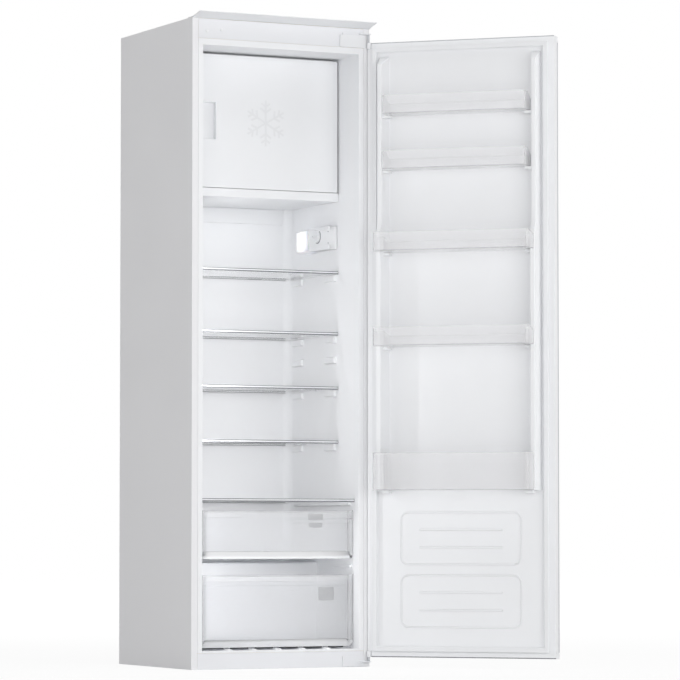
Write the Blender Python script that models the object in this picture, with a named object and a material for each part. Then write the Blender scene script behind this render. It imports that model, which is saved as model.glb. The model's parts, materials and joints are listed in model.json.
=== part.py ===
# Built-in larder refrigerator with a freezer box, its door standing open.
# X runs to the right, the front faces -Y, Z is up, and the origin is the middle
# of the cabinet's footprint on the floor. All lengths are in metres.

import math

import bmesh
import bpy
from mathutils import Matrix, Vector

# Shared sheet, wall and gap sizes
SHEET = 0.0012
GAP = 0.0003
LINER_WALL = 0.0015
PAST = 0.010
ROUND_STEPS = 32
ARC_STEPS = 5

# Cabinet
CABINET_WIDTH = 0.540
CABINET_DEPTH = 0.493
CABINET_HEIGHT = 1.772
SIDE_FLANGE = 0.018
REAR_RECESS = 0.023
RAIL_DROP = 0.0015

# Insulation between the cabinet and the compartment
SIDE_INSULATION = 0.0325
TOP_INSULATION = 0.074
REAR_INSULATION = 0.030
STEP_INSULATION = 0.0327
STEP_ROOF_INSULATION = 0.0273

# Compartment, with depths counted from the cabinet's front
INNER_FLOOR = 0.050
STEP_THICK = 0.178
STEP_EDGE = 0.008
REAR_CORNER = 0.025
TOP_FLANGE = 0.0178
FLOOR_FLANGE = 0.0058

# Ribs of the liner
RIB_REACH = 0.008
RIB_HEIGHT = 0.018
RIB_SINK = 0.0008
RIB_LENGTH = 0.065
FRONT_RIB_START = 0.140
REAR_RIB_SPARE = 0.025
FLOOR_RIB_COUNT = 5
FLOOR_RIB_PITCH = 0.0745
FLOOR_RIB_WIDTH = 0.014
FLOOR_RIB_RISE = 0.0067
FLOOR_RIB_START = 0.012
FLOOR_RIB_SPARE = 0.022
BAND_HEIGHT = 0.0431
BAND_REACH = 0.004
RUNNER_RIB_START = 0.050
RUNNER_RIB_SPARE = 0.040
RUNNER_RIB_HEIGHT = 0.010
STOP_START = 0.0427
STOP_LENGTH = 0.099
STOP_DROP = 0.0056
STOP_HEIGHT = 0.0077
STOP_TIP = 0.0015

# Drawers, from the floor up
LOWER_DRAWER_HEIGHT = 0.1982
STEP_RISE = 0.0308
UPPER_DRAWER_LIFT = 0.0207
UPPER_DRAWER_HEIGHT = 0.1247
COVER_LIFT = 0.0231
DRAWER_FRONT = 0.035
DRAWER_SIDE_PLAY = 0.003
TUB_INSET = 0.012
TUB_WALL = 0.002
UPPER_DRAWER_SPARE = 0.017
LOWER_DRAWER_SPARE = 0.0115
DRAWER_CORNER = 0.012
HANDLE_LIP = 0.006
HANDLE_LIP_HEIGHT = 0.0044
TUB_DROP = 0.003
RUNNER_DROP = 0.0254
RUNNER_THICK = 0.003
PAD_THICK = 0.0015
PAD_SLANT = 0.006
UPPER_PAD_INSET = 0.0900
UPPER_PAD_WIDTH = 0.0449
UPPER_PAD_DROP = (0.0479, 0.0105)
LOWER_PAD_INSET = 0.0555
LOWER_PAD_WIDTH = 0.0483
LOWER_PAD_DROP = (0.0727, 0.0352)

# Shelves, placed as shares of the height between the cover and the thermostat
SHELF_SHARES = (0.8993, 0.6540, 0.4369, 0.2211)
SPARE_RIB_SHARE = 0.5700
SHELF_SIDE_PLAY = 0.003
SHELF_REAR_PLAY = 0.002
SHELF_FRONT = 0.1235
SHELF_BAR = 0.010
SHELF_HEIGHT = 0.0085
SHELF_CORNER = 0.022
SIDE_BAR = 0.003
SIDE_BAR_HEIGHT = 0.0025
GLASS = 0.004
GLASS_INSET = 0.0025
COVER_FRONT = 0.022

# Freezer compartment
FREEZER_HEIGHT = 0.4015
FREEZER_LEDGE = 0.024
FREEZER_FLOOR_THICK = 0.0275
FREEZER_WALL = 0.002
FREEZER_BOX_PLAY = 0.0007
FREEZER_DOOR_LIFT = 0.0012
FREEZER_DOOR_DROP = 0.0066
FREEZER_DOOR_FRONT = 0.124
FREEZER_DOOR_THICK = 0.0225
FREEZER_DOOR_PLAY = 0.004
FREEZER_DOOR_SKIN = 0.0025
FREEZER_GASKET = 0.0064
FREEZER_GASKET_WIDTH = 0.014
FREEZER_FRAME_THICK = 0.012
FREEZER_FRAME_BORDER = 0.030
FREEZER_PIVOT_INSET = 0.0025
FREEZER_PIVOT_SINK = 0.004
FREEZER_EDGE = 0.003
GRIP_INSET = 0.046
GRIP_WIDTH = 0.045
GRIP_HEIGHT = 0.102
GRIP_DEPTH = 0.014
GRIP_WALL = 0.002
FLAKE_X = 0.010
FLAKE_RADIUS = 0.064
FLAKE_BAR = 0.0055
FLAKE_RELIEF = 0.0007
FLAKE_ARMS = 6
FLAKE_BRANCHES = ((0.030, 0.020), (0.046, 0.016))
FLAKE_BRANCH_TURN = math.radians(55.0)

# Thermostat and lamp unit on the right wall, hung below the freezer
UNIT_DROP = 0.0675
UNIT_HEIGHT = 0.066
UNIT_SETBACK = 0.095
UNIT_SLOPE = 0.033
UNIT_LENGTH = 0.130
UNIT_FRONT_REACH = 0.008
UNIT_REACH = 0.0265
LAMP_HEIGHT = 0.0611
LAMP_LENGTH = 0.083
LAMP_REACH = 0.0295
LAMP_WALL = 0.002
LAMP_CORNER = 0.012
BOARD_THICK = 0.0016
BOARD_MARGIN = 0.010
KNOB_RADIUS = 0.018
KNOB_REACH = 0.010
KNOB_GRIP_HALF = 0.003
KNOB_SETBACK = 0.073
KNOB_LIFT = 0.0075
KNOB_FACE_SHARE = 0.55
KNOB_GRIP_SHARE = 0.94

# Door, modelled closed and then swung open about its pins
DOOR_OPEN = math.radians(135.0)
DOOR_GAP = 0.012
DOOR_THICK = 0.040
DOOR_BOTTOM = 0.0268
DOOR_DROP = 0.0413
DOOR_FREE_INSET = 0.0015
DOOR_HINGE_INSET = 0.0050
PIVOT_INSET = 0.006
PIVOT_SET = 0.0034
PIN_RADIUS = 0.003
PIN_DEPTH = 0.009
LUG_RADIUS = 0.0055
DOOR_SKIN = 0.001
DOOR_PLATE = 0.002
CAP_HEIGHT = 0.016
GASKET_INSET = 0.001
GASKET_FLOOR_LIFT = 0.009
GASKET_TOP_LIFT = 0.0015
GASKET_WIDTH = 0.0155
GASKET_THICK = 0.0112
DYKE_BOTTOM = 0.4853
DYKE_DROP = 0.0407
DYKE_INSET = 0.0055
DYKE_FOOT = 0.026
DYKE_HEIGHTS = (0.0545, 0.042)
DYKE_INNER_SLOPES = (0.0090, 0.0097)
DYKE_OUTER_SLOPES = (0.0048, 0.0042)
DYKE_TOP_SLOPE = 0.025
DYKE_STEP_LIFT = 0.003
DYKE_STEP_RISE = 0.022
BIN_LEDGE_REACH = 0.010
BIN_LEDGE_LENGTH = 0.030
BIN_LEDGE_HEIGHT = 0.008
BIN_LEDGE_START = 0.008

# Embossed panels below the bins
PANEL_INSET = 0.058
PANEL_CORNER = 0.022
PANEL_RELIEF = 0.0012
PANEL_RIM = 0.004
PANEL_LIFT = 0.0493
PANEL_HEIGHT = 0.1464
PANEL_PITCH = 0.1723
PANEL_COUNT = 2
PANEL_RIB_INSET = 0.055
PANEL_RIB = 0.005
PANEL_RIB_SHARES = (0.335, 0.665)

# Door bins, with reaches counted from the door's inner face
BIN_SHARES = (0.8613, 0.7342, 0.5449, 0.3281)
BIN_HEIGHT = 0.052
BOTTLE_LIFT = 0.0007
BOTTLE_HEIGHT = 0.102
BIN_BACK = 0.0045
SLIM_BIN_COUNT = 2
SLIM_BIN_REACH = 0.080
SLIM_BIN_SLOPE = 0.040
WIDE_BIN_STEP_PLAY = 0.0013
WIDE_BIN_REACH = 0.112
WIDE_BIN_SLOPE = 0.098
WIDE_BIN_TAPER = 0.0034
BIN_PLAY = 0.0015
BIN_OVERHANG = 0.0074
BIN_WALL = 0.002
BIN_CORNER = 0.0125
BIN_SMALL_CORNER = 0.004
BIN_DROP_SHARE = 0.42

# Hinge brackets, cover and plugs
COVER_WIDTH = 0.080
COVER_PLAY = 0.001
COVER_PROUD = 0.004
COVER_LIP = 0.003
TONGUE_DROP = 0.0185
TONGUE_THICK = 0.003
TONGUE_HALF = 0.028
COVER_TO_TONGUE = 0.0035
BRACKET_PLATE = 0.0025
BRACKET_INSET = (0.0084, 0.0055)
LOW_BRACKET = (0.0020, 0.0300)
LOW_TONGUE_GAP = 0.0118
PLUG_INSETS = (0.0435, 0.0870)
PLUG_DROPS = (0.0359, 0.0310)
PLUG_RADIUS = 0.0045
PLUG_THICK = 0.0015

# Top trim
TRIM_BACK = 0.030
TRIM_REACH = 0.049
TRIM_RISE = 0.012
TRIM_THICK = 0.002
TRIM_KNEE_REACH = 0.020
TRIM_KNEE_RISE = 0.0035
TRIM_LIP = 0.002

# Machine compartment and cold circuit
EVAPORATOR_INSET = 0.0625
EVAPORATOR_LIFT = 0.264
EVAPORATOR_DROP = 0.1465
EVAPORATOR_THICK = 0.0015
COIL_RADIUS = 0.0025
COIL_INSET = 0.080
COIL_LIFT = 0.1413
COIL_DROP = 0.100
COIL_PITCH = 0.0575
COIL_BEND_STEPS = 8
COIL_BEVEL_STEPS = 2
STRAP_X = 0.120
STRAP_HALF = 0.006
STRAP_LIFT = 0.071
STRAP_DROP = 0.112
STRAP_THICK = 0.008
STRAP_CROSS = 0.012
COMPRESSOR_X = 0.060
COMPRESSOR_SETBACK = 0.103
COMPRESSOR_RADIUS = 0.072
COMPRESSOR_HEIGHT = 0.162
COMPRESSOR_SQUASH_SHARE = 0.80
COMPRESSOR_END_SHARE = 0.35
COMPRESSOR_FULLNESS_SHARE = 0.55
COMPRESSOR_STEPS = 8
FOOT_HALF_X = 0.085
FOOT_HALF_Y = 0.052
FOOT_THICK = 0.002
PLATFORM_HALF_DEPTH = 0.0675
PLATFORM_INSET = 0.070
PLATFORM_HEIGHT = 0.0130
TERMINAL_SIZE = (0.036, 0.060, 0.060)
TERMINAL_LIFT = 0.049
DRIER_RADIUS = 0.009
DRIER_Z = (0.050, 0.150)
TRAY_HALF_X = 0.080
TRAY_HALF_Y = 0.052
TRAY_HEIGHT = 0.030
TRAY_WALL = 0.002
DRAIN_SETBACK = 0.088
DRAIN_OUTER = 0.007
DRAIN_INNER = 0.005
DRAIN_COLLAR = 0.013
DRAIN_COLLAR_THICK = 0.002
DRAIN_OVER_TRAY = 0.0137

# Sizes that follow from the ones above: the cabinet and its compartment
FRONT_Y = -CABINET_DEPTH / 2
SIDE_X = CABINET_WIDTH / 2
FOAM_X = SIDE_X - SHEET - GAP
INNER_HALF = SIDE_X - SIDE_INSULATION
INNER_TOP = CABINET_HEIGHT - TOP_INSULATION
FLANGE_TOP = INNER_TOP + TOP_FLANGE
FLANGE_BOTTOM = INNER_FLOOR - FLOOR_FLANGE
RAIL_TOP = CABINET_HEIGHT - RAIL_DROP
REAR_PANEL_DEPTH = CABINET_DEPTH - REAR_RECESS
INNER_DEPTH = REAR_PANEL_DEPTH - REAR_INSULATION
FLOOR_RIB_TOP = INNER_FLOOR + FLOOR_RIB_RISE
LOWER_DRAWER = (FLOOR_RIB_TOP + GAP, FLOOR_RIB_TOP + GAP + LOWER_DRAWER_HEIGHT)
STEP_TOP = LOWER_DRAWER[1] + STEP_RISE
STEP_DEPTH = INNER_DEPTH - STEP_THICK
MACHINE_DEPTH = STEP_DEPTH + STEP_INSULATION
MACHINE_TOP = STEP_TOP - STEP_ROOF_INSULATION
FOAM_BACK = INNER_DEPTH + LINER_WALL + EVAPORATOR_THICK + 2 * GAP

# Drawers, cover and shelves
UPPER_DRAWER = (STEP_TOP + UPPER_DRAWER_LIFT, STEP_TOP + UPPER_DRAWER_LIFT + UPPER_DRAWER_HEIGHT)
RUNNER_Z = UPPER_DRAWER[1] - RUNNER_DROP
COVER_BOTTOM = UPPER_DRAWER[1] + COVER_LIFT
COVER_TOP = COVER_BOTTOM + SHELF_HEIGHT
DRAWER_HALF = INNER_HALF - DRAWER_SIDE_PLAY
TUB_HALF = DRAWER_HALF - TUB_INSET
UPPER_PAD_X = (DRAWER_HALF - UPPER_PAD_INSET - UPPER_PAD_WIDTH, DRAWER_HALF - UPPER_PAD_INSET)
LOWER_PAD_X = (DRAWER_HALF - LOWER_PAD_INSET - LOWER_PAD_WIDTH, DRAWER_HALF - LOWER_PAD_INSET)
UPPER_DRAWER_BACK = INNER_DEPTH - UPPER_DRAWER_SPARE
LOWER_DRAWER_BACK = STEP_DEPTH - LOWER_DRAWER_SPARE
FREEZER_FLOOR = INNER_TOP - FREEZER_HEIGHT
UNIT_TOP = FREEZER_FLOOR - UNIT_DROP
SHELF_RANGE = UNIT_TOP - UNIT_HEIGHT - COVER_TOP
SHELF_BOTTOMS = [COVER_TOP + SHELF_RANGE * share for share in SHELF_SHARES]
SPARE_RIB_TOP = COVER_TOP + SHELF_RANGE * SPARE_RIB_SHARE
SHELF_HALF = INNER_HALF - SHELF_SIDE_PLAY
SHELF_BACK = INNER_DEPTH - SHELF_REAR_PLAY

# Freezer
FREEZER_LEDGE_TOP = FREEZER_FLOOR + FREEZER_LEDGE
FREEZER_BOX_FLOOR = FREEZER_FLOOR + FREEZER_FLOOR_THICK
FREEZER_BOX_HALF = INNER_HALF - FREEZER_BOX_PLAY
FREEZER_DOOR = (FREEZER_LEDGE_TOP + FREEZER_DOOR_LIFT, INNER_TOP - FREEZER_DOOR_DROP)
FREEZER_DOOR_HALF = INNER_HALF - FREEZER_DOOR_PLAY
FREEZER_DOOR_MIDDLE = sum(FREEZER_DOOR) / 2
FREEZER_FRAME_FRONT = FREEZER_DOOR_FRONT + FREEZER_DOOR_THICK + FREEZER_GASKET + 2 * GAP
FREEZER_BOX_FRONT = FREEZER_FRAME_FRONT + FREEZER_FRAME_THICK + GAP
FREEZER_PIVOT_X = FREEZER_DOOR_HALF - FREEZER_PIVOT_INSET
FREEZER_PIVOT_DEPTH = FREEZER_DOOR_FRONT + FREEZER_PIVOT_SINK
GRIP_X = (-FREEZER_DOOR_HALF + GRIP_INSET, -FREEZER_DOOR_HALF + GRIP_INSET + GRIP_WIDTH)
GRIP_Z = (FREEZER_DOOR_MIDDLE - GRIP_HEIGHT / 2, FREEZER_DOOR_MIDDLE + GRIP_HEIGHT / 2)

# Thermostat and lamp
UNIT_MIDDLE = UNIT_TOP - UNIT_HEIGHT / 2
LAMP_BACK = INNER_DEPTH - UNIT_SETBACK
UNIT_BACK = LAMP_BACK - LAMP_LENGTH
UNIT_FRONT = UNIT_BACK - UNIT_LENGTH
LAMP_Z = (UNIT_MIDDLE - LAMP_HEIGHT / 2, UNIT_MIDDLE + LAMP_HEIGHT / 2)
KNOB_DEPTH = UNIT_FRONT + KNOB_SETBACK
KNOB_Z = UNIT_MIDDLE + KNOB_LIFT

# Door
PIVOT_X = SIDE_X - PIVOT_INSET
PIVOT_DEPTH = PIVOT_SET - DOOR_GAP
DOOR_HALF = SIDE_X - DOOR_FREE_INSET
DOOR_HINGE_EDGE = SIDE_X - DOOR_HINGE_INSET
DOOR_Z = (DOOR_BOTTOM, CABINET_HEIGHT - DOOR_DROP)
GASKET_HALF = INNER_HALF - GASKET_INSET
GASKET_Z = (INNER_FLOOR + GASKET_FLOOR_LIFT, INNER_TOP + GASKET_TOP_LIFT)
DYKE_Z = (DYKE_BOTTOM, DOOR_Z[1] - DYKE_DROP)
DYKE_OUTER = GASKET_HALF - DYKE_INSET
DYKE_INNER = DYKE_OUTER - DYKE_FOOT
PANEL_HALF = DYKE_OUTER - PANEL_INSET
PANEL_RIB_HALF = PANEL_HALF - PANEL_RIB_INSET
PANEL_BOTTOM = GASKET_Z[0] + PANEL_LIFT
BOTTLE_FLOOR = DYKE_Z[0] + BOTTLE_LIFT
BIN_FLOORS = [BOTTLE_FLOOR + (DYKE_Z[1] - BOTTLE_FLOOR) * share for share in BIN_SHARES]
BIN_INNER_HALF = DYKE_INNER - BIN_PLAY
BIN_HALF = DYKE_OUTER - BIN_OVERHANG
WIDE_BIN_STEP = DYKE_HEIGHTS[0] + WIDE_BIN_STEP_PLAY
DYKE_STEP_LOW = BIN_FLOORS[SLIM_BIN_COUNT] + BIN_HEIGHT + DYKE_STEP_LIFT
DYKE_STEP_HIGH = DYKE_STEP_LOW + DYKE_STEP_RISE

# Hinge hardware
TOP_TONGUE_Z = CABINET_HEIGHT - TONGUE_DROP
LOW_TONGUE_Z = DOOR_BOTTOM - TONGUE_THICK - LOW_TONGUE_GAP
COVER_X = (PIVOT_X - LUG_RADIUS - COVER_PLAY - COVER_WIDTH, PIVOT_X - LUG_RADIUS - COVER_PLAY)
COVER_Z = (FLANGE_TOP + GAP, TOP_TONGUE_Z - COVER_TO_TONGUE)
BRACKET_X = (COVER_X[0] + BRACKET_INSET[0], COVER_X[1] - BRACKET_INSET[1])

# Machine compartment
EVAPORATOR_HALF = INNER_HALF - EVAPORATOR_INSET
EVAPORATOR_Z = (STEP_TOP + EVAPORATOR_LIFT, FREEZER_FLOOR - EVAPORATOR_DROP)
COIL_HALF = SIDE_X - COIL_INSET
COIL_DEPTH = REAR_PANEL_DEPTH + STRAP_THICK + COIL_RADIUS + 2 * GAP
STRAP_Z = (MACHINE_TOP + STRAP_LIFT, CABINET_HEIGHT - STRAP_DROP)
COIL_LOW = MACHINE_TOP + COIL_LIFT
COIL_ROWS = 2 * int((STRAP_Z[1] - COIL_DROP - COIL_LOW) / (2 * COIL_PITCH)) + 1
COMPRESSOR_DEPTH = CABINET_DEPTH - COMPRESSOR_SETBACK
DRAIN_DEPTH = CABINET_DEPTH - DRAIN_SETBACK
PLATFORM_HALF = SIDE_X - PLATFORM_INSET
FOOT_Z = PLATFORM_HEIGHT + GAP
COMPRESSOR_TOP = FOOT_Z + COMPRESSOR_HEIGHT
TERMINAL_Z = FOOT_Z + TERMINAL_LIFT
TRAY_FLOOR = COMPRESSOR_TOP + GAP
DRAIN_END = TRAY_FLOOR + TRAY_HEIGHT + DRAIN_OVER_TRAY


def at(depth):
    """Y of a depth counted from the cabinet's front."""
    return FRONT_Y + depth


def reach(off):
    """Y of a reach counted from the closed door's inner face into the cabinet."""
    return FRONT_Y - DOOR_GAP + off


# Scene and material helpers


def clear_scene():
    for obj in list(bpy.data.objects):
        bpy.data.objects.remove(obj, do_unlink=True)


def material(name, colour, roughness, metallic=0.0, alpha=1.0):
    mat = bpy.data.materials.new(name)
    mat.use_nodes = True
    shader = mat.node_tree.nodes["Principled BSDF"]
    shader.inputs["Base Color"].default_value = (*colour, 1.0)
    shader.inputs["Roughness"].default_value = roughness
    shader.inputs["Metallic"].default_value = metallic
    shader.inputs["Alpha"].default_value = alpha
    mat.diffuse_color = (*colour, alpha)
    return mat


def finish(name, bm, mat):
    """Turn a bmesh into an object with one material and outward faces."""
    bmesh.ops.recalc_face_normals(bm, faces=bm.faces)
    mesh = bpy.data.meshes.new(name)
    bm.to_mesh(mesh)
    bm.free()
    obj = bpy.data.objects.new(name, mesh)
    bpy.context.scene.collection.objects.link(obj)
    if mat:
        mesh.materials.append(mat)
    return obj


def block(name, low, high, mat=None):
    """A plain box between two corners."""
    bm = bmesh.new()
    size = Vector(high) - Vector(low)
    middle = (Vector(high) + Vector(low)) / 2
    matrix = Matrix.Translation(middle) @ Matrix.Diagonal((*size, 1.0))
    bmesh.ops.create_cube(bm, size=1.0, matrix=matrix)
    return finish(name, bm, mat)


def prism(name, outline, low, high, axis, mat=None):
    """An outline extruded along X, Y or Z from low to high."""
    spread = {
        "X": lambda a, b: (low, a, b),
        "Y": lambda a, b: (a, low, b),
        "Z": lambda a, b: (a, b, low),
    }[axis]
    bm = bmesh.new()
    face = bm.faces.new([bm.verts.new(spread(a, b)) for a, b in outline])
    grown = bmesh.ops.extrude_face_region(bm, geom=[face])
    moved = [v for v in grown["geom"] if isinstance(v, bmesh.types.BMVert)]
    step = Vector([high - low if axis == letter else 0.0 for letter in "XYZ"])
    bmesh.ops.translate(bm, verts=moved, vec=step)
    return finish(name, bm, mat)


def rounded(corners):
    """An outline with each (a, b, radius) corner turned into an arc."""
    points = []
    count = len(corners)
    for i, (a, b, radius) in enumerate(corners):
        here = Vector((a, b))
        before = Vector(corners[i - 1][:2])
        after = Vector(corners[(i + 1) % count][:2])
        if not radius:
            points.append((a, b))
            continue
        to_before = (before - here).normalized()
        to_after = (after - here).normalized()
        half = to_before.angle(to_after) / 2
        start = here + to_before * radius / math.tan(half)
        end = here + to_after * radius / math.tan(half)
        centre = here + (to_before + to_after).normalized() * radius / math.sin(half)
        sweep = (start - centre).angle_signed(end - centre)
        for k in range(ARC_STEPS + 1):
            turn = Matrix.Rotation(-sweep * k / ARC_STEPS, 2)
            spot = centre + turn @ (start - centre)
            points.append((spot.x, spot.y))
    return points


def rounded_rectangle(low, high, radius):
    return rounded(
        [
            (low[0], low[1], radius),
            (high[0], low[1], radius),
            (high[0], high[1], radius),
            (low[0], high[1], radius),
        ]
    )


def turned(name, profile, axis, centre, mat=None):
    """A profile of (radius, height) points spun about an axis through centre."""
    bm = bmesh.new()
    verts = [bm.verts.new((radius, 0.0, height)) for radius, height in profile]
    edges = [bm.edges.new(pair) for pair in zip(verts, verts[1:])]
    bmesh.ops.spin(
        bm,
        geom=verts + edges,
        cent=(0.0, 0.0, 0.0),
        axis=(0.0, 0.0, 1.0),
        angle=math.tau,
        steps=ROUND_STEPS,
        use_merge=True,
    )
    bmesh.ops.remove_doubles(bm, verts=bm.verts, dist=0.00001)
    aim = Vector((0.0, 0.0, 1.0)).rotation_difference(Vector(axis)).to_matrix().to_4x4()
    bmesh.ops.transform(bm, matrix=Matrix.Translation(centre) @ aim, verts=bm.verts)
    obj = finish(name, bm, mat)
    obj.data.shade_smooth()
    obj.data.set_sharp_from_angle(angle=math.radians(35.0))
    return obj


def rod(name, radius, length, axis, centre, mat=None):
    """A solid round bar that starts at centre and runs along axis."""
    profile = [(0.0, 0.0), (radius, 0.0), (radius, length), (0.0, length)]
    return turned(name, profile, axis, centre, mat)


def combine(obj, tool, operation):
    """Join or cut obj with a hidden tool, which keeps to it when it is placed."""
    tool.hide_render = True
    tool.display_type = "WIRE"
    modifier = obj.modifiers.new(tool.name, "BOOLEAN")
    modifier.operation = operation
    modifier.solver = "EXACT"
    modifier.object = tool
    TOOLS.setdefault(obj.name, []).append(tool)


def cut(obj, tool):
    combine(obj, tool, "DIFFERENCE")


def fuse(obj, tool):
    combine(obj, tool, "UNION")


def trim(obj, tool):
    combine(obj, tool, "INTERSECT")


def merge(name, objects):
    """One object from several that don't touch, for use as a single tool."""
    bm = bmesh.new()
    for obj in objects:
        bm.from_mesh(obj.data)
        bpy.data.objects.remove(obj, do_unlink=True)
    return finish(name, bm, None)


def place(obj, origin, parent=None):
    """Give a piece and its tools an origin, and a parent that stands there."""
    for piece in [obj] + TOOLS.get(obj.name, []):
        piece.data.transform(Matrix.Translation(-Vector(origin)))
        if parent:
            piece.parent = parent
        else:
            piece.location = origin


def empty(name, location, turn=0.0):
    obj = bpy.data.objects.new(name, None)
    obj.location = location
    obj.rotation_euler = (0.0, 0.0, turn)
    bpy.context.scene.collection.objects.link(obj)
    return obj


# Cabinet


def side_panel(name, side, mat):
    """A steel side with a front flange and a rear flange."""
    outer = side * SIDE_X
    inner = side * (SIDE_X - SHEET)
    edge = side * (SIDE_X - SIDE_FLANGE)
    front = at(0.0)
    back = at(CABINET_DEPTH)
    outline = [
        (outer, front),
        (edge, front),
        (edge, front + SHEET),
        (inner, front + SHEET),
        (inner, back - SHEET),
        (edge, back - SHEET),
        (edge, back),
        (outer, back),
    ]
    return prism(name, outline, 0.0, CABINET_HEIGHT, "Z", mat)


def top_panel(mat):
    low = (-FOAM_X, at(SHEET + GAP), CABINET_HEIGHT - SHEET)
    high = (FOAM_X, at(CABINET_DEPTH - SHEET - GAP), CABINET_HEIGHT)
    return block("top_panel", low, high, mat)


def base_pan(mat):
    """Bottom sheet with the raised platform that carries the compressor."""
    low = (-FOAM_X, at(SHEET + GAP), 0.0)
    high = (FOAM_X, at(CABINET_DEPTH - SHEET - GAP), SHEET)
    pan = block("base_pan", low, high, mat)
    near = COMPRESSOR_DEPTH - PLATFORM_HALF_DEPTH
    far = COMPRESSOR_DEPTH + PLATFORM_HALF_DEPTH
    foot = SHEET / 2
    top = PLATFORM_HEIGHT
    outline = [
        (at(near), foot),
        (at(near), top),
        (at(far), top),
        (at(far), foot),
        (at(far - SHEET), foot),
        (at(far - SHEET), top - SHEET),
        (at(near + SHEET), top - SHEET),
        (at(near + SHEET), foot),
    ]
    fuse(pan, prism("platform", outline, -PLATFORM_HALF, PLATFORM_HALF, "X"))
    return pan


def front_rail(name, low_z, high_z, mat):
    x = SIDE_X - SIDE_FLANGE - GAP
    return block(name, (-x, at(0.0), low_z), (x, at(SHEET), high_z), mat)


def rear_panel(mat):
    """One bent sheet: the back, the machine room's ceiling and its front wall."""
    back = REAR_PANEL_DEPTH
    low = MACHINE_TOP - GAP
    front = MACHINE_DEPTH + GAP
    top = CABINET_HEIGHT - SHEET - GAP
    foot = SHEET + GAP
    outline = [
        (at(back - SHEET), top),
        (at(back - SHEET), low),
        (at(front), low),
        (at(front), foot),
        (at(front + SHEET), foot),
        (at(front + SHEET), low - SHEET),
        (at(back), low - SHEET),
        (at(back), top),
    ]
    panel = prism("rear_panel", outline, -FOAM_X, FOAM_X, "X", mat)
    cut(panel, drain_hole("rear_drain_hole", low - PAST, low + PAST))
    return panel


def drain_hole(name, low_z, high_z):
    return rod(name, DRAIN_OUTER + GAP, high_z - low_z, (0, 0, 1), (COMPRESSOR_X, at(DRAIN_DEPTH), low_z))


def inner_shape(name, grow, front, mat=None):
    """The compartment's space, grown outward by a wall: side view trimmed to plan."""
    half = INNER_HALF + grow
    back = INNER_DEPTH + grow
    low = INNER_FLOOR - grow
    high = INNER_TOP + grow
    outline = rounded(
        [
            (at(front), low, 0.0),
            (at(STEP_DEPTH + grow), low, 0.0),
            (at(STEP_DEPTH + grow), STEP_TOP - grow, STEP_EDGE - grow),
            (at(back), STEP_TOP - grow, 0.0),
            (at(back), high, 0.0),
            (at(front), high, 0.0),
        ]
    )
    shape = prism(name, outline, -half, half, "X", mat)
    corner = REAR_CORNER + grow
    side = half + PAST
    plan = rounded(
        [
            (-half, at(front - PAST), 0.0),
            (half, at(front - PAST), 0.0),
            (half, at(back), corner),
            (-half, at(back), corner),
        ]
    )
    plan_tool = prism(name + "_plan", plan, low - side, high + side, "Z")
    trim(shape, plan_tool)
    return shape, plan_tool


def foam_surround(mat):
    """Foam in the two sides and the top, cut away behind for the machine room."""
    grow = LINER_WALL + GAP
    inner = INNER_HALF + grow
    foot = SHEET + GAP
    top = CABINET_HEIGHT - SHEET - GAP
    outline = [
        (-FOAM_X, foot),
        (-FOAM_X, top),
        (FOAM_X, top),
        (FOAM_X, foot),
        (inner, foot),
        (inner, INNER_TOP + grow),
        (-inner, INNER_TOP + grow),
        (-inner, foot),
    ]
    foam = prism("foam_surround", outline, at(grow), at(FOAM_BACK - GAP), "Y", mat)
    low = (-SIDE_X, at(MACHINE_DEPTH), -PAST)
    high = (SIDE_X, at(CABINET_DEPTH), MACHINE_TOP)
    cut(foam, block("foam_machine_room", low, high))
    return foam


def foam_back(mat):
    low = (-FOAM_X, at(FOAM_BACK), MACHINE_TOP)
    high = (FOAM_X, at(REAR_PANEL_DEPTH - SHEET - GAP), CABINET_HEIGHT - SHEET - GAP)
    return block("foam_back", low, high, mat)


def foam_base(mat):
    """Foam under the floor and inside the step over the machine room."""
    grow = LINER_WALL + GAP
    half = INNER_HALF + LINER_WALL
    foot = SHEET + GAP
    back = FOAM_BACK - GAP
    outline = [
        (at(grow), foot),
        (at(MACHINE_DEPTH), foot),
        (at(MACHINE_DEPTH), MACHINE_TOP),
        (at(back), MACHINE_TOP),
        (at(back), STEP_TOP - grow),
        (at(STEP_DEPTH + STEP_EDGE), STEP_TOP - grow),
        (at(STEP_DEPTH + grow), STEP_TOP - STEP_EDGE),
        (at(STEP_DEPTH + grow), INNER_FLOOR - grow),
        (at(grow), INNER_FLOOR - grow),
    ]
    foam = prism("foam_base", outline, -half, half, "X", mat)
    cut(foam, drain_hole("foam_drain_hole", MACHINE_TOP - PAST, STEP_TOP + PAST))
    return foam


def fridge_evaporator(mat):
    near = INNER_DEPTH + LINER_WALL + GAP
    low = (-EVAPORATOR_HALF, at(near), EVAPORATOR_Z[0])
    high = (EVAPORATOR_HALF, at(near + EVAPORATOR_THICK), EVAPORATOR_Z[1])
    return block("fridge_evaporator", low, high, mat)


def wall_rib(side, depths, top, height):
    wall = side * (INNER_HALF + RIB_SINK)
    tip = side * (INNER_HALF - RIB_REACH)
    low = (min(wall, tip), at(depths[0]), top - height)
    high = (max(wall, tip), at(depths[1]), top)
    return block("rib", low, high)


def stop_rib(side):
    """Wedge on a side wall between the drawers, thick in front."""
    top = STEP_TOP - STOP_DROP
    start = at(STOP_START)
    end = at(STOP_START + STOP_LENGTH)
    low = top - STOP_HEIGHT
    outline = [(start, low), (start, top), (end, low + 2 * STOP_TIP), (end, low + STOP_TIP)]
    wall = side * (INNER_HALF + RIB_SINK)
    tip = side * (INNER_HALF - RIB_REACH)
    return prism("rib", outline, min(wall, tip), max(wall, tip), "X")


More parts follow.
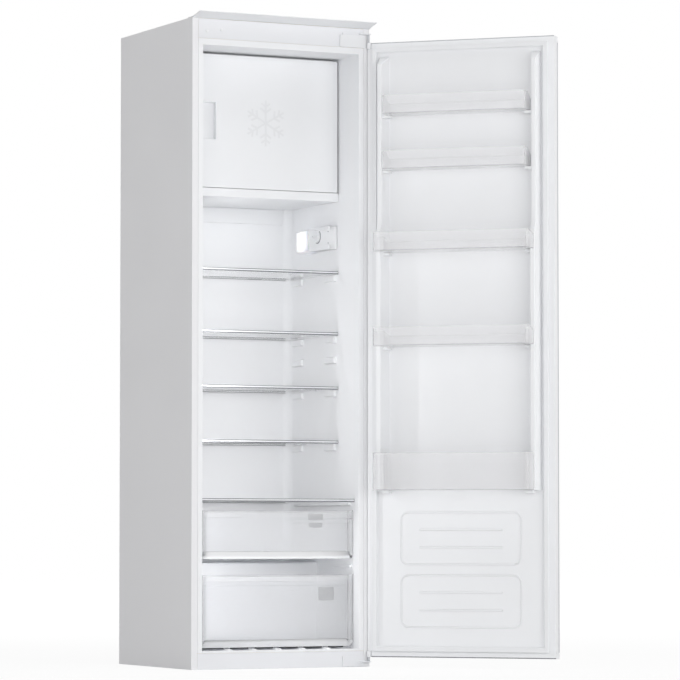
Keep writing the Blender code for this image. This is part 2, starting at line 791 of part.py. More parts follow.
def liner_ribs():
    """Shelf ribs, runner ribs, drawer stops, floor ribs and the rear band."""
    ribs = []
    tops = [bottom - GAP for bottom in SHELF_BOTTOMS] + [SPARE_RIB_TOP]
    front = (FRONT_RIB_START, FRONT_RIB_START + RIB_LENGTH)
    rear_end = INNER_DEPTH - REAR_RIB_SPARE
    rear = (rear_end - RIB_LENGTH, rear_end)
    runner = (RUNNER_RIB_START, INNER_DEPTH - RUNNER_RIB_SPARE)
    for side in (-1, 1):
        for top in tops:
            ribs.append(wall_rib(side, front, top, RIB_HEIGHT))
            ribs.append(wall_rib(side, rear, top, RIB_HEIGHT))
        for top in (COVER_BOTTOM - GAP, RUNNER_Z - GAP):
            ribs.append(wall_rib(side, runner, top, RUNNER_RIB_HEIGHT))
        ribs.append(stop_rib(side))
    first = -FLOOR_RIB_PITCH * (FLOOR_RIB_COUNT - 1) / 2
    for i in range(FLOOR_RIB_COUNT):
        x = first + FLOOR_RIB_PITCH * i
        low = (x - FLOOR_RIB_WIDTH / 2, at(FLOOR_RIB_START), INNER_FLOOR - RIB_SINK)
        high = (x + FLOOR_RIB_WIDTH / 2, at(STEP_DEPTH - FLOOR_RIB_SPARE), FLOOR_RIB_TOP)
        ribs.append(block("rib", low, high))
    half = INNER_HALF - REAR_CORNER
    band_low = (-half, at(INNER_DEPTH - BAND_REACH), FREEZER_FLOOR - GAP - BAND_HEIGHT)
    band_high = (half, at(INNER_DEPTH + RIB_SINK), FREEZER_FLOOR - GAP)
    ribs.append(block("rib", band_low, band_high))
    return merge("liner_rib_set", ribs)


def inner_liner(mat):
    """Thin moulded compartment with its front flange and its ribs."""
    x = SIDE_X - SIDE_FLANGE - GAP
    wall = LINER_WALL
    liner, _ = inner_shape("inner_liner", wall, 0.0, mat)
    flange = block("liner_flange", (-x, at(0.0), FLANGE_BOTTOM), (x, at(wall), FLANGE_TOP))
    fuse(liner, flange)
    hollow, plan_tool = inner_shape("liner_hollow", 0.0, -PAST)
    cut(liner, hollow)
    fuse(liner, liner_ribs())
    cut(liner, drain_hole("liner_drain_hole", STEP_TOP - PAST, STEP_TOP + PAST))
    TOOLS[liner.name].append(plan_tool)
    return liner


def top_trim(mat):
    """Cover strip that rises forward over the niche's upper edge."""
    top = CABINET_HEIGHT
    low = RAIL_TOP - GAP
    outline = [
        (at(TRIM_BACK), top + GAP),
        (at(TRIM_BACK), top + GAP + TRIM_THICK),
        (at(0.0), top + GAP + TRIM_THICK),
        (at(-TRIM_KNEE_REACH), top + TRIM_KNEE_RISE + TRIM_THICK),
        (at(-TRIM_REACH), top + TRIM_RISE),
        (at(-TRIM_REACH), top + TRIM_RISE - TRIM_THICK),
        (at(-TRIM_KNEE_REACH), top + TRIM_KNEE_RISE - GAP),
        (at(-GAP - TRIM_LIP), low + GAP),
        (at(-GAP - TRIM_LIP), low),
        (at(-GAP), low),
        (at(-GAP), top + GAP),
    ]
    return prism("top_trim", outline, -SIDE_X, SIDE_X, "X", mat)


# Hinge side


def hinge_cover(mat):
    low = (COVER_X[0], at(-COVER_PROUD), COVER_Z[0])
    high = (COVER_X[1], at(-GAP), COVER_Z[1])
    cover = block("hinge_cover", low, high, mat)
    low = (BRACKET_X[0] - GAP, at(-BRACKET_PLATE - 2 * GAP), COVER_Z[0] + COVER_LIP)
    high = (BRACKET_X[1] + GAP, at(PAST), COVER_Z[1] + PAST)
    cut(cover, block("hinge_cover_recess", low, high))
    return cover


def hinge_bracket(name, plate_z, tongue_z, pin_z, mat):
    """A plate on the front rail, a tongue to the pivot and the pin itself."""
    low = (BRACKET_X[0], at(-GAP - BRACKET_PLATE), plate_z[0])
    high = (BRACKET_X[1], at(-GAP), plate_z[1])
    bracket = block(name, low, high, mat)
    tip = PIVOT_X + LUG_RADIUS
    nose = PIVOT_DEPTH - LUG_RADIUS
    outline = rounded(
        [
            (PIVOT_X - TONGUE_HALF, at(-GAP), 0.0),
            (PIVOT_X - TONGUE_HALF, at(nose), LUG_RADIUS / 2),
            (tip, at(nose), LUG_RADIUS / 2),
            (tip, at(-GAP), 0.0),
        ]
    )
    fuse(bracket, prism(name + "_tongue", outline, tongue_z, tongue_z + TONGUE_THICK, "Z"))
    length = abs(pin_z[1] - pin_z[0])
    foot = (PIVOT_X, at(PIVOT_DEPTH), min(pin_z))
    fuse(bracket, rod(name + "_pin", PIN_RADIUS, length, (0, 0, 1), foot))
    return bracket


def blanking_plug(name, x, z, mat):
    return rod(name, PLUG_RADIUS, PLUG_THICK, (0, -1, 0), (x, at(-GAP), z), mat)


# Freezer compartment


def freezer_plan(name, shrink, low_z, high_z, front, mat=None):
    """A block behind the freezer's front frame with the two rear corners rounded."""
    half = FREEZER_BOX_HALF - shrink
    back = at(INNER_DEPTH - GAP - shrink)
    outline = rounded(
        [
            (-half, at(front), 0.0),
            (half, at(front), 0.0),
            (half, back, REAR_CORNER - shrink),
            (-half, back, REAR_CORNER - shrink),
        ]
    )
    return prism(name, outline, low_z, high_z, "Z", mat)


def freezer_box(mat):
    """Five-sided aluminium box behind the freezer door."""
    low = FREEZER_BOX_FLOOR
    high = INNER_TOP - GAP
    wall = FREEZER_WALL
    box = freezer_plan("freezer_box", 0.0, low, high, FREEZER_BOX_FRONT, mat)
    front = FREEZER_BOX_FRONT - PAST
    cut(box, freezer_plan("freezer_box_hollow", wall, low + wall, high - wall, front))
    return box


def freezer_floor(mat):
    """Foam-filled tray under the freezer box."""
    high = FREEZER_BOX_FLOOR - GAP
    return freezer_plan("freezer_floor", 0.0, FREEZER_FLOOR, high, FREEZER_BOX_FRONT, mat)


def freezer_frame(mat):
    """Border that the freezer door closes on, with the ledge below it."""
    half = INNER_HALF - GAP
    near = FREEZER_FRAME_FRONT
    low = (-half, at(near), FREEZER_FLOOR)
    high = (half, at(near + FREEZER_FRAME_THICK), INNER_TOP - GAP)
    frame = block("freezer_frame", low, high, mat)
    ledge_low = (-half, at(FREEZER_DOOR_FRONT), FREEZER_FLOOR)
    ledge_high = (half, at(near + GAP), FREEZER_LEDGE_TOP)
    fuse(frame, block("freezer_ledge", ledge_low, ledge_high))
    border = FREEZER_FRAME_BORDER
    mouth_low = (-half + border, at(near - PAST), FREEZER_LEDGE_TOP + border)
    mouth_high = (half - border, at(near + PAST * 2), INNER_TOP - border)
    cut(frame, block("freezer_mouth", mouth_low, mouth_high))
    return frame


def flake_bar(angle, start, end):
    """A flat bar of the relief, from start to end, in the door's plane."""
    along = Vector((math.cos(angle), 0.0, math.sin(angle)))
    across = Vector((-math.sin(angle), 0.0, math.cos(angle))) * FLAKE_BAR / 2
    top = at(FREEZER_DOOR_FRONT - FLAKE_RELIEF)
    deep = at(FREEZER_DOOR_FRONT + FREEZER_DOOR_SKIN / 2)
    corners = [
        start - across,
        start + across,
        end + across,
        end - across,
    ]
    outline = [(corner.x, corner.z) for corner in corners]
    return prism("bar", outline, top, deep, "Y"), along


def snowflake():
    """Six arms with two pairs of short branches each."""
    middle = Vector((FLAKE_X, 0.0, FREEZER_DOOR_MIDDLE))
    bars = []
    for i in range(FLAKE_ARMS):
        angle = math.pi / 2 + math.tau * i / FLAKE_ARMS
        arm = Vector((math.cos(angle), 0.0, math.sin(angle)))
        if i < FLAKE_ARMS / 2:
            bars.append(flake_bar(angle, middle - arm * FLAKE_RADIUS, middle + arm * FLAKE_RADIUS)[0])
        for start, length in FLAKE_BRANCHES:
            for side in (-1, 1):
                turn = angle + side * FLAKE_BRANCH_TURN
                branch = Vector((math.cos(turn), 0.0, math.sin(turn)))
                foot = middle + arm * start
                bars.append(flake_bar(turn, foot, foot + branch * length)[0])
    return bars


def freezer_door_panel(mat):
    """Front of the freezer door: a pan with a grip recess and the relief."""
    half = FREEZER_DOOR_HALF
    skin = FREEZER_DOOR_SKIN
    front = FREEZER_DOOR_FRONT
    back = front + FREEZER_DOOR_THICK - skin
    outline = rounded_rectangle((-half, FREEZER_DOOR[0]), (half, FREEZER_DOOR[1]), FREEZER_EDGE)
    panel = prism("freezer_door_panel", outline, at(front), at(back), "Y", mat)
    low = (-half + skin, at(front + skin), FREEZER_DOOR[0] + skin)
    high = (half - skin, at(back + PAST), FREEZER_DOOR[1] - skin)
    hollow = block("panel_hollow", low, high)
    grown = GRIP_WALL
    keep_low = (GRIP_X[0] - grown, at(front), GRIP_Z[0] - grown)
    keep_high = (GRIP_X[1] + grown, at(front + GRIP_DEPTH + grown), GRIP_Z[1] + grown)
    keep = block("grip_wall", keep_low, keep_high)
    cut(hollow, keep)
    cut(panel, hollow)
    low = (GRIP_X[0], at(front - PAST), GRIP_Z[0])
    high = (GRIP_X[1], at(front + GRIP_DEPTH), GRIP_Z[1])
    cut(panel, block("grip_recess", low, high))
    for i, bar in enumerate(snowflake()):
        bar.name = f"flake_bar_{i}"
        fuse(panel, bar)
    TOOLS[panel.name].append(keep)
    return panel


def freezer_door_core(mat):
    """Foam-filled back of the freezer door, inside the front pan."""
    inset = FREEZER_DOOR_SKIN + GAP
    half = FREEZER_DOOR_HALF - inset
    front = FREEZER_DOOR_FRONT
    low = (-half, at(front + inset), FREEZER_DOOR[0] + inset)
    high = (half, at(front + FREEZER_DOOR_THICK), FREEZER_DOOR[1] - inset)
    core = block("freezer_door_core", low, high, mat)
    grown = GRIP_WALL + GAP
    low = (GRIP_X[0] - grown, at(front), GRIP_Z[0] - grown)
    high = (GRIP_X[1] + grown, at(front + GRIP_DEPTH + grown), GRIP_Z[1] + grown)
    cut(core, block("core_grip_gap", low, high))
    return core


def ring(name, half, zs, width, depths, mat):
    """A flat rectangular ring that stands across Y."""
    outline = [(-half, zs[0]), (half, zs[0]), (half, zs[1]), (-half, zs[1])]
    body = prism(name, outline, depths[0], depths[1], "Y", mat)
    low = (-half + width, depths[0] - PAST, zs[0] + width)
    high = (half - width, depths[1] + PAST, zs[1] - width)
    cut(body, block(name + "_opening", low, high))
    return body


def freezer_door_gasket(mat):
    inset = FREEZER_DOOR_SKIN + GAP
    near = FREEZER_DOOR_FRONT + FREEZER_DOOR_THICK + GAP
    zs = (FREEZER_DOOR[0] + inset, FREEZER_DOOR[1] - inset)
    half = FREEZER_DOOR_HALF - inset
    depths = (at(near), at(near + FREEZER_GASKET))
    return ring("freezer_door_gasket", half, zs, FREEZER_GASKET_WIDTH, depths, mat)


# Thermostat and lamp


def thermostat_housing(mat):
    """Wedge on the right wall that holds the knob."""
    wall = INNER_HALF - GAP
    outline = [
        (wall, at(UNIT_FRONT)),
        (INNER_HALF - UNIT_FRONT_REACH, at(UNIT_FRONT)),
        (INNER_HALF - UNIT_REACH, at(UNIT_FRONT + UNIT_SLOPE)),
        (INNER_HALF - UNIT_REACH, at(UNIT_BACK)),
        (wall, at(UNIT_BACK)),
    ]
    return prism("thermostat_housing", outline, UNIT_TOP - UNIT_HEIGHT, UNIT_TOP, "Z", mat)


def lamp_diffuser(mat):
    """Hollow light cover, open towards the wall."""
    wall = INNER_HALF - GAP
    tip = INNER_HALF - LAMP_REACH
    front = UNIT_BACK + GAP
    outline = rounded(
        [
            (wall, at(front), 0.0),
            (tip, at(front), LAMP_CORNER / 4),
            (tip, at(LAMP_BACK), LAMP_CORNER),
            (wall, at(LAMP_BACK), 0.0),
        ]
    )
    cover = prism("lamp_diffuser", outline, LAMP_Z[0], LAMP_Z[1], "Z", mat)
    low = (tip + LAMP_WALL, at(front + LAMP_WALL), LAMP_Z[0] + LAMP_WALL)
    high = (wall + PAST, at(LAMP_BACK - LAMP_CORNER / 2), LAMP_Z[1] - LAMP_WALL)
    cut(cover, block("lamp_hollow", low, high))
    return cover


def lamp_board(mat):
    wall = INNER_HALF - GAP
    front = UNIT_BACK + GAP + BOARD_MARGIN
    low = (wall - BOARD_THICK, at(front), LAMP_Z[0] + BOARD_MARGIN)
    high = (wall, at(LAMP_BACK - LAMP_CORNER / 2 - BOARD_MARGIN), LAMP_Z[1] - BOARD_MARGIN)
    return block("lamp_board", low, high, mat)


def thermostat_knob(mat):
    """Round knob with a grip bar, turning about an axis along X."""
    face = INNER_HALF - UNIT_REACH - GAP
    length = KNOB_REACH * KNOB_FACE_SHARE
    centre = (face, at(KNOB_DEPTH), KNOB_Z)
    knob = rod("thermostat_knob", KNOB_RADIUS, length, (-1, 0, 0), centre, mat)
    reach_in = KNOB_RADIUS * KNOB_GRIP_SHARE
    low = (face - KNOB_REACH, at(KNOB_DEPTH) - KNOB_GRIP_HALF, KNOB_Z - reach_in)
    high = (face - length / 2, at(KNOB_DEPTH) + KNOB_GRIP_HALF, KNOB_Z + reach_in)
    fuse(knob, block("knob_grip", low, high))
    place(knob, centre)
    return knob


# Shelves and drawers


def shelf_plan(front, inset, rear_inset, side_inset, corner):
    """A shelf's outline seen from above, with rounded rear corners."""
    half = SHELF_HALF - side_inset
    back = SHELF_BACK - rear_inset
    return rounded(
        [
            (-half, at(front + inset), 0.0),
            (half, at(front + inset), 0.0),
            (half, at(back), corner),
            (-half, at(back), corner),
        ]
    )


def shelf_frame(name, bottom, front, mat):
    """Front and rear bars with a slot for the glass, on two slim side bars."""
    top = bottom + SHELF_HEIGHT
    frame = prism(name, shelf_plan(front, 0.0, 0.0, 0.0, SHELF_CORNER), bottom, top, "Z", mat)
    corner = SHELF_CORNER - SIDE_BAR
    middle = shelf_plan(front, SHELF_BAR, SHELF_BAR, SIDE_BAR, corner)
    cut(frame, prism(name + "_middle", middle, bottom - PAST, top + PAST, "Z"))
    lift = bottom + SIDE_BAR_HEIGHT
    half = SHELF_HALF + PAST
    low = (-half, at(front + SHELF_BAR), lift)
    high = (half, at(SHELF_BACK - SHELF_BAR), top + PAST)
    cut(frame, block(name + "_over", low, high))
    low = (-half, at(front + GLASS_INSET), lift)
    high = (half, at(SHELF_BACK - GLASS_INSET), lift + GLASS + 2 * GAP)
    cut(frame, block(name + "_slot", low, high))
    return frame


def shelf_glass(name, bottom, front, mat):
    lift = bottom + SIDE_BAR_HEIGHT + GAP
    inset = GLASS_INSET + GAP
    outline = shelf_plan(front, inset, inset, 0.0, SHELF_CORNER)
    return prism(name, outline, lift, lift + GLASS, "Z", mat)


def drawer(name, zs, back, with_runners, mat):
    """Clear tub with a wide front, a handle lip and runners if it hangs."""
    front = DRAWER_FRONT
    wall = TUB_WALL
    outline = rounded(
        [
            (-DRAWER_HALF, zs[0], DRAWER_CORNER),
            (DRAWER_HALF, zs[0], DRAWER_CORNER),
            (DRAWER_HALF, zs[1], 0.0),
            (-DRAWER_HALF, zs[1], 0.0),
        ]
    )
    tub = prism(name, outline, at(front), at(front + wall), "Y", mat)
    low = (-TUB_HALF, at(front + wall / 2), zs[0])
    high = (TUB_HALF, at(back), zs[1] - TUB_DROP)
    fuse(tub, block(name + "_body", low, high))
    lip_low = (-DRAWER_HALF, at(front - HANDLE_LIP), zs[1] - HANDLE_LIP_HEIGHT)
    lip_high = (DRAWER_HALF, at(front + wall / 2), zs[1])
    fuse(tub, block(name + "_lip", lip_low, lip_high))
    if with_runners:
        low = (-DRAWER_HALF, at(front + wall / 2), RUNNER_Z)
        high = (DRAWER_HALF, at(back - wall), RUNNER_Z + RUNNER_THICK)
        fuse(tub, block(name + "_runners", low, high))
    low = (-TUB_HALF + wall, at(front + wall), zs[0] + wall)
    high = (TUB_HALF - wall, at(back - wall), zs[1] + PAST)
    cut(tub, block(name + "_inside", low, high))
    return tub


def drawer_pad(name, xs, drops, top, slant, mat):
    """Grey insert behind the drawer's clear front."""
    near = at(DRAWER_FRONT + TUB_WALL + GAP)
    outline = [
        (xs[0] + slant, top - drops[0]),
        (xs[1] - slant, top - drops[0]),
        (xs[1], top - drops[1]),
        (xs[0], top - drops[1]),
    ]
    return prism(name, outline, near, near + PAD_THICK, "Y", mat)


# Door, in its closed place


def door_skin(mat):
    """Outer steel sheet with its two folded sides."""
    out = reach(-DOOR_THICK)
    rim = reach(-DOOR_PLATE - GAP)
    t = DOOR_SKIN
    outline = [
        (-DOOR_HALF, rim),
        (-DOOR_HALF, out),
        (DOOR_HINGE_EDGE, out),
        (DOOR_HINGE_EDGE, rim),
        (DOOR_HINGE_EDGE - t, rim),
        (DOOR_HINGE_EDGE - t, out + t),
        (-DOOR_HALF + t, out + t),
        (-DOOR_HALF + t, rim),
    ]
    low = DOOR_Z[0] + CAP_HEIGHT + GAP
    high = DOOR_Z[1] - CAP_HEIGHT - GAP
    return prism("door_skin", outline, low, high, "Z", mat)


def dyke(name, side, shrink):
    """One raised side wall of the door's liner, or its core when shrunk."""
    foot = reach(-DOOR_PLATE - PAST * bool(shrink) + (DOOR_PLATE / 2) * (not shrink))
    bottom = DYKE_Z[0] + shrink
    top = DYKE_Z[1] - shrink
    bm = bmesh.new()
    rings = []
    for part, foot_z, crest_z in (
        (0, bottom, bottom),
        (0, DYKE_STEP_LOW, DYKE_STEP_LOW),
        (1, DYKE_STEP_HIGH, DYKE_STEP_HIGH),
        (1, top, top - DYKE_TOP_SLOPE),
    ):
        crest = reach(DYKE_HEIGHTS[part] - shrink)
        inner = DYKE_INNER + shrink
        outer = DYKE_OUTER - shrink
        spots = [
            (side * inner, foot, foot_z),
            (side * outer, foot, foot_z),
            (side * (outer - DYKE_OUTER_SLOPES[part]), crest, crest_z),
            (side * (inner + DYKE_INNER_SLOPES[part]), crest, crest_z),
        ]
        rings.append([bm.verts.new(spot) for spot in spots])
    bm.faces.new(rings[0])
    bm.faces.new(rings[-1])
    for below, above in zip(rings, rings[1:]):
        for i in range(4):
            k = (i + 1) % 4
            bm.faces.new((below[i], below[k], above[k], above[i]))
    bmesh.ops.triangulate(bm, faces=bm.faces)
    return finish(name, bm, None)


def bin_ledge(side, bottom):
    """Ledge on a dyke's inner wall that carries one end of a bin."""
    tip = side * (BIN_INNER_HALF - BIN_LEDGE_REACH)
    root = side * (DYKE_INNER + max(DYKE_INNER_SLOPES) + RIB_SINK)
    low = (min(tip, root), reach(BIN_LEDGE_START), bottom - GAP - BIN_LEDGE_HEIGHT)
    high = (max(tip, root), reach(BIN_LEDGE_START + BIN_LEDGE_LENGTH), bottom - GAP)
    return block("ledge", low, high)


def embossed_panel(name, zs):
    """Rounded raised rim with two ribs, low on the door's inner face."""
    deep = reach(-DOOR_PLATE / 2)
    top = reach(PANEL_RELIEF)
    outline = rounded_rectangle((-PANEL_HALF, zs[0]), (PANEL_HALF, zs[1]), PANEL_CORNER)
    rim = prism(name, outline, deep, top, "Y")
    inset = PANEL_RIM
    low = (-PANEL_HALF + inset, zs[0] + inset)
    high = (PANEL_HALF - inset, zs[1] - inset)
    inner = prism(name + "_inner", rounded_rectangle(low, high, PANEL_CORNER - inset), deep - PAST, top + PAST, "Y")
    cut(rim, inner)
    ribs = []
    for share in PANEL_RIB_SHARES:
        z = zs[0] + (zs[1] - zs[0]) * share
        low = (-PANEL_RIB_HALF, deep, z - PANEL_RIB / 2)
        high = (PANEL_RIB_HALF, top, z + PANEL_RIB / 2)
        ribs.append(block("rib", low, high))
    return rim, inner, merge(name + "_ribs", ribs)


def door_liner(mat):
    """Inner face of the door with hollow dykes, bin ledges and embossing."""
    low = (-DOOR_HALF, reach(-DOOR_PLATE), DOOR_Z[0])
    high = (DOOR_HALF, reach(0.0), DOOR_Z[1])
    liner = block("door_liner", low, high, mat)
    hidden = []
    for side in (-1, 1):
        fuse(liner, dyke(f"dyke_{side}", side, 0.0))
    ledges = [bin_ledge(side, z) for side in (-1, 1) for z in BIN_FLOORS + [BOTTLE_FLOOR]]
    fuse(liner, merge("bin_ledges", ledges))
    for side in (-1, 1):
        cut(liner, dyke(f"dyke_core_{side}", side, LINER_WALL))
    notches = []
    for low_z, high_z in (
        (DOOR_Z[0] - PAST, DOOR_Z[0] + CAP_HEIGHT + GAP),
        (DOOR_Z[1] - CAP_HEIGHT - GAP, DOOR_Z[1] + PAST),
    ):
        low = (PIVOT_X - LUG_RADIUS - GAP, reach(-PAST), low_z)
        high = (DOOR_HALF + PAST, reach(PAST), high_z)
        notches.append(block("notch", low, high))
    cut(liner, merge("hinge_notches", notches))
    for i in range(PANEL_COUNT):
        bottom = PANEL_BOTTOM + PANEL_PITCH * i
        zs = (bottom, bottom + PANEL_HEIGHT)
        rim, inner, ribs = embossed_panel(f"embossed_{i}", zs)
        fuse(liner, rim)
        fuse(liner, ribs)
        hidden.append(inner)
    TOOLS[liner.name].extend(hidden)
    return liner


def door_foam(mat):
    """Foam slab of the door with the two dyke cores standing on it."""
    inset = DOOR_SKIN + GAP
    low = (-DOOR_HALF + inset, reach(-DOOR_THICK + inset), DOOR_Z[0] + CAP_HEIGHT + GAP)
    high = (DOOR_HINGE_EDGE - inset, reach(-DOOR_PLATE - GAP), DOOR_Z[1] - CAP_HEIGHT - GAP)
    foam = block("door_foam", low, high, mat)
    for side in (-1, 1):
        fuse(foam, dyke(f"foam_dyke_{side}", side, LINER_WALL + GAP))
    return foam


def door_cap(name, low_z, high_z, hole_from, mat):
    """End cap of the door with the lug that turns on the hinge pin."""
    low = (-DOOR_HALF, reach(-DOOR_THICK), low_z)
    high = (DOOR_HINGE_EDGE, reach(-DOOR_PLATE - GAP), high_z)
    cap = block(name, low, high, mat)
    lug = rod(name + "_lug", LUG_RADIUS, high_z - low_z, (0, 0, 1), (PIVOT_X, at(PIVOT_DEPTH), low_z))
    neck_low = (PIVOT_X - LUG_RADIUS, reach(-DOOR_PLATE * 2), low_z)
    neck_high = (DOOR_HINGE_EDGE, at(PIVOT_DEPTH), high_z)
    fuse(cap, lug)
    fuse(cap, block(name + "_neck", neck_low, neck_high))
    foot = (PIVOT_X, at(PIVOT_DEPTH), hole_from)
    cut(cap, rod(name + "_bush", PIN_RADIUS + GAP, PIN_DEPTH + PAST, (0, 0, 1), foot))
    return cap


def door_gasket(mat):
    width = GASKET_WIDTH
    zs = (GASKET_Z[0] - width, GASKET_Z[1] + width)
    depths = (reach(GAP), reach(GAP + GASKET_THICK))
    return ring("door_gasket", GASKET_HALF + width, zs, width, depths, mat)


def bin_outline(shrink, is_wide):
    """Plan of a door bin: between the dykes, and a wide one spreads in front of them."""
    narrow = BIN_INNER_HALF - shrink
    back = reach(BIN_BACK + shrink)
    big = BIN_CORNER - shrink
    small = BIN_SMALL_CORNER
    spots = [(-narrow, back, small), (narrow, back, small)]
    if is_wide:
        wide = BIN_HALF - shrink
        tip = wide - WIDE_BIN_TAPER
        step = reach(WIDE_BIN_STEP + shrink)
        front = reach(WIDE_BIN_REACH - shrink)
        spots += [(narrow, step, 0.0), (wide, step, 0.0), (tip, front, big)]
        spots += [(-tip, front, big), (-wide, step, 0.0), (-narrow, step, 0.0)]
    else:
        front = reach(SLIM_BIN_REACH - shrink)
        spots += [(narrow, front, big), (-narrow, front, big)]
    return rounded(spots)


def door_bin(name, bottom, height, is_wide, slope_end, mat):
    """Clear tray between the dykes, its rim falling towards the door if it slopes."""
    top = bottom + height
    tray = prism(name, bin_outline(0.0, is_wide), bottom, top, "Z", mat)
    inside = prism(name + "_inside", bin_outline(BIN_WALL, is_wide), bottom + BIN_WALL, top + PAST, "Z")
    cut(tray, inside)
    if slope_end:
        fall = height * BIN_DROP_SHARE / slope_end
        ends = (-PAST, slope_end + PAST)
        outline = [(reach(off), top - fall * (slope_end - off)) for off in ends]
        outline += [(reach(off), top + PAST * 2) for off in reversed(ends)]
        cut(tray, prism(name + "_slope", outline, -BIN_HALF - PAST, BIN_HALF + PAST, "X"))
    return tray


# Machine compartment and cold circuit


def compressor(mat):
    """Hermetic shell on a foot plate."""
    low = FOOT_Z
    high = COMPRESSOR_TOP
    tall = high - low
    profile = [(0.0, low)]
    for i in range(COMPRESSOR_STEPS + 1):
        turn = math.pi * i / COMPRESSOR_STEPS
        swell = abs(math.sin(turn)) ** COMPRESSOR_FULLNESS_SHARE
        radius = COMPRESSOR_RADIUS * max(swell, COMPRESSOR_END_SHARE)
        profile.append((radius, low + tall * (1.0 - math.cos(turn)) / 2))
    profile.append((0.0, high))
    centre = (COMPRESSOR_X, at(COMPRESSOR_DEPTH), 0.0)
    shell = turned("compressor", profile, (0, 0, 1), centre, mat)
    squash = Matrix.Diagonal((1.0, COMPRESSOR_SQUASH_SHARE, 1.0, 1.0))
    around = Matrix.Translation(centre)
    shell.data.transform(around @ squash @ around.inverted())
    low = (COMPRESSOR_X - FOOT_HALF_X, at(COMPRESSOR_DEPTH) - FOOT_HALF_Y, FOOT_Z)
    high = (COMPRESSOR_X + FOOT_HALF_X, at(COMPRESSOR_DEPTH) + FOOT_HALF_Y, FOOT_Z + FOOT_THICK)
    fuse(shell, block("compressor_foot", low, high))
    return shell


def terminal_box(mat):
    """Box with the relay and the mains inlet, on the compressor's side."""
    right = COMPRESSOR_X - COMPRESSOR_RADIUS - GAP
    middle = at(COMPRESSOR_DEPTH)
    wide, deep, tall = TERMINAL_SIZE
    low = (right - wide, middle - deep / 2, TERMINAL_Z)
    high = (right, middle + deep / 2, TERMINAL_Z + tall)
    return block("terminal_box", low, high, mat)


def evaporating_tray(mat):
    """Open tray on top of the compressor."""
    bottom = TRAY_FLOOR
    middle = at(COMPRESSOR_DEPTH)
    low = (COMPRESSOR_X - TRAY_HALF_X, middle - TRAY_HALF_Y, bottom)
    high = (COMPRESSOR_X + TRAY_HALF_X, middle + TRAY_HALF_Y, bottom + TRAY_HEIGHT)
    tray = block("evaporating_tray", low, high, mat)
    wall = TRAY_WALL
    low = (low[0] + wall, low[1] + wall, low[2] + wall)
    high = (high[0] - wall, high[1] - wall, high[2] + PAST)
    cut(tray, block("tray_inside", low, high))
    return tray


def drain_tube(mat):
    """Tube from the liner's sill down to the evaporating tray."""
    collar = STEP_TOP + GAP
    profile = [
        (DRAIN_INNER, DRAIN_END),
        (DRAIN_OUTER, DRAIN_END),
        (DRAIN_OUTER, collar),
        (DRAIN_COLLAR, collar),
        (DRAIN_COLLAR, collar + DRAIN_COLLAR_THICK),
        (DRAIN_INNER, collar + DRAIN_COLLAR_THICK),
        (DRAIN_INNER, DRAIN_END),
    ]
    centre = (COMPRESSOR_X, at(DRAIN_DEPTH), 0.0)
    return turned("drain_tube", profile, (0, 0, 1), centre, mat)


def coil_path():
    """Serpentine of level runs joined by half circles, then down to the drier."""
    bend = COIL_PITCH / 2
    y = at(COIL_DEPTH)
    points = []
    for row in range(COIL_ROWS):
        z = COIL_LOW + COIL_PITCH * (COIL_ROWS - 1 - row)
        side = 1 if row % 2 == 0 else -1
        end = side * (COIL_HALF - bend)
        points.append((-end, y, z))
        points.append((end, y, z))
        if row == COIL_ROWS - 1:
            break
        for k in range(1, COIL_BEND_STEPS):
            turn = math.pi / 2 - math.pi * k / COIL_BEND_STEPS
            points.append((end + side * bend * math.cos(turn), y, z - bend + bend * math.sin(turn)))
    points.append((COIL_HALF, y, COIL_LOW - bend))
    points.append((COIL_HALF, y, DRIER_Z[1] + GAP))
    return points


def condenser_coil(mat):
    """Round tube along the serpentine."""
    curve = bpy.data.curves.new("condenser_coil", "CURVE")
    curve.dimensions = "3D"
    curve.bevel_depth = COIL_RADIUS
    curve.bevel_resolution = COIL_BEVEL_STEPS
    curve.use_fill_caps = True
    path = coil_path()
    spline = curve.splines.new("POLY")
    spline.points.add(len(path[1:]))
    for point, spot in zip(spline.points, path):
        point.co = (*spot, 1.0)
    obj = bpy.data.objects.new("condenser_coil", curve)
    bpy.context.scene.collection.objects.link(obj)
    curve.materials.append(mat)
    return obj


def condenser_frame(mat):
    """Two upright straps and a cross bar between the back and the coil."""
    near = at(REAR_PANEL_DEPTH + GAP)
    far = near + STRAP_THICK
    straps = []
    for side in (-1, 1):
        low = (side * STRAP_X - STRAP_HALF, near, STRAP_Z[0])
        high = (side * STRAP_X + STRAP_HALF, far, STRAP_Z[1])
        straps.append(block("strap", low, high))
    middle = sum(STRAP_Z) / 2
    low = (-STRAP_X, near, middle - STRAP_CROSS / 2)
    high = (STRAP_X, far, middle + STRAP_CROSS / 2)
    frame = block("condenser_frame", low, high, mat)
    fuse(frame, merge("condenser_straps", straps))
    return frame


def filter_drier(mat):
    centre = (COIL_HALF, at(COIL_DEPTH), DRIER_Z[0])
    return rod("filter_drier", DRIER_RADIUS, DRIER_Z[1] - DRIER_Z[0], (0, 0, 1), centre, mat)


# Assembly


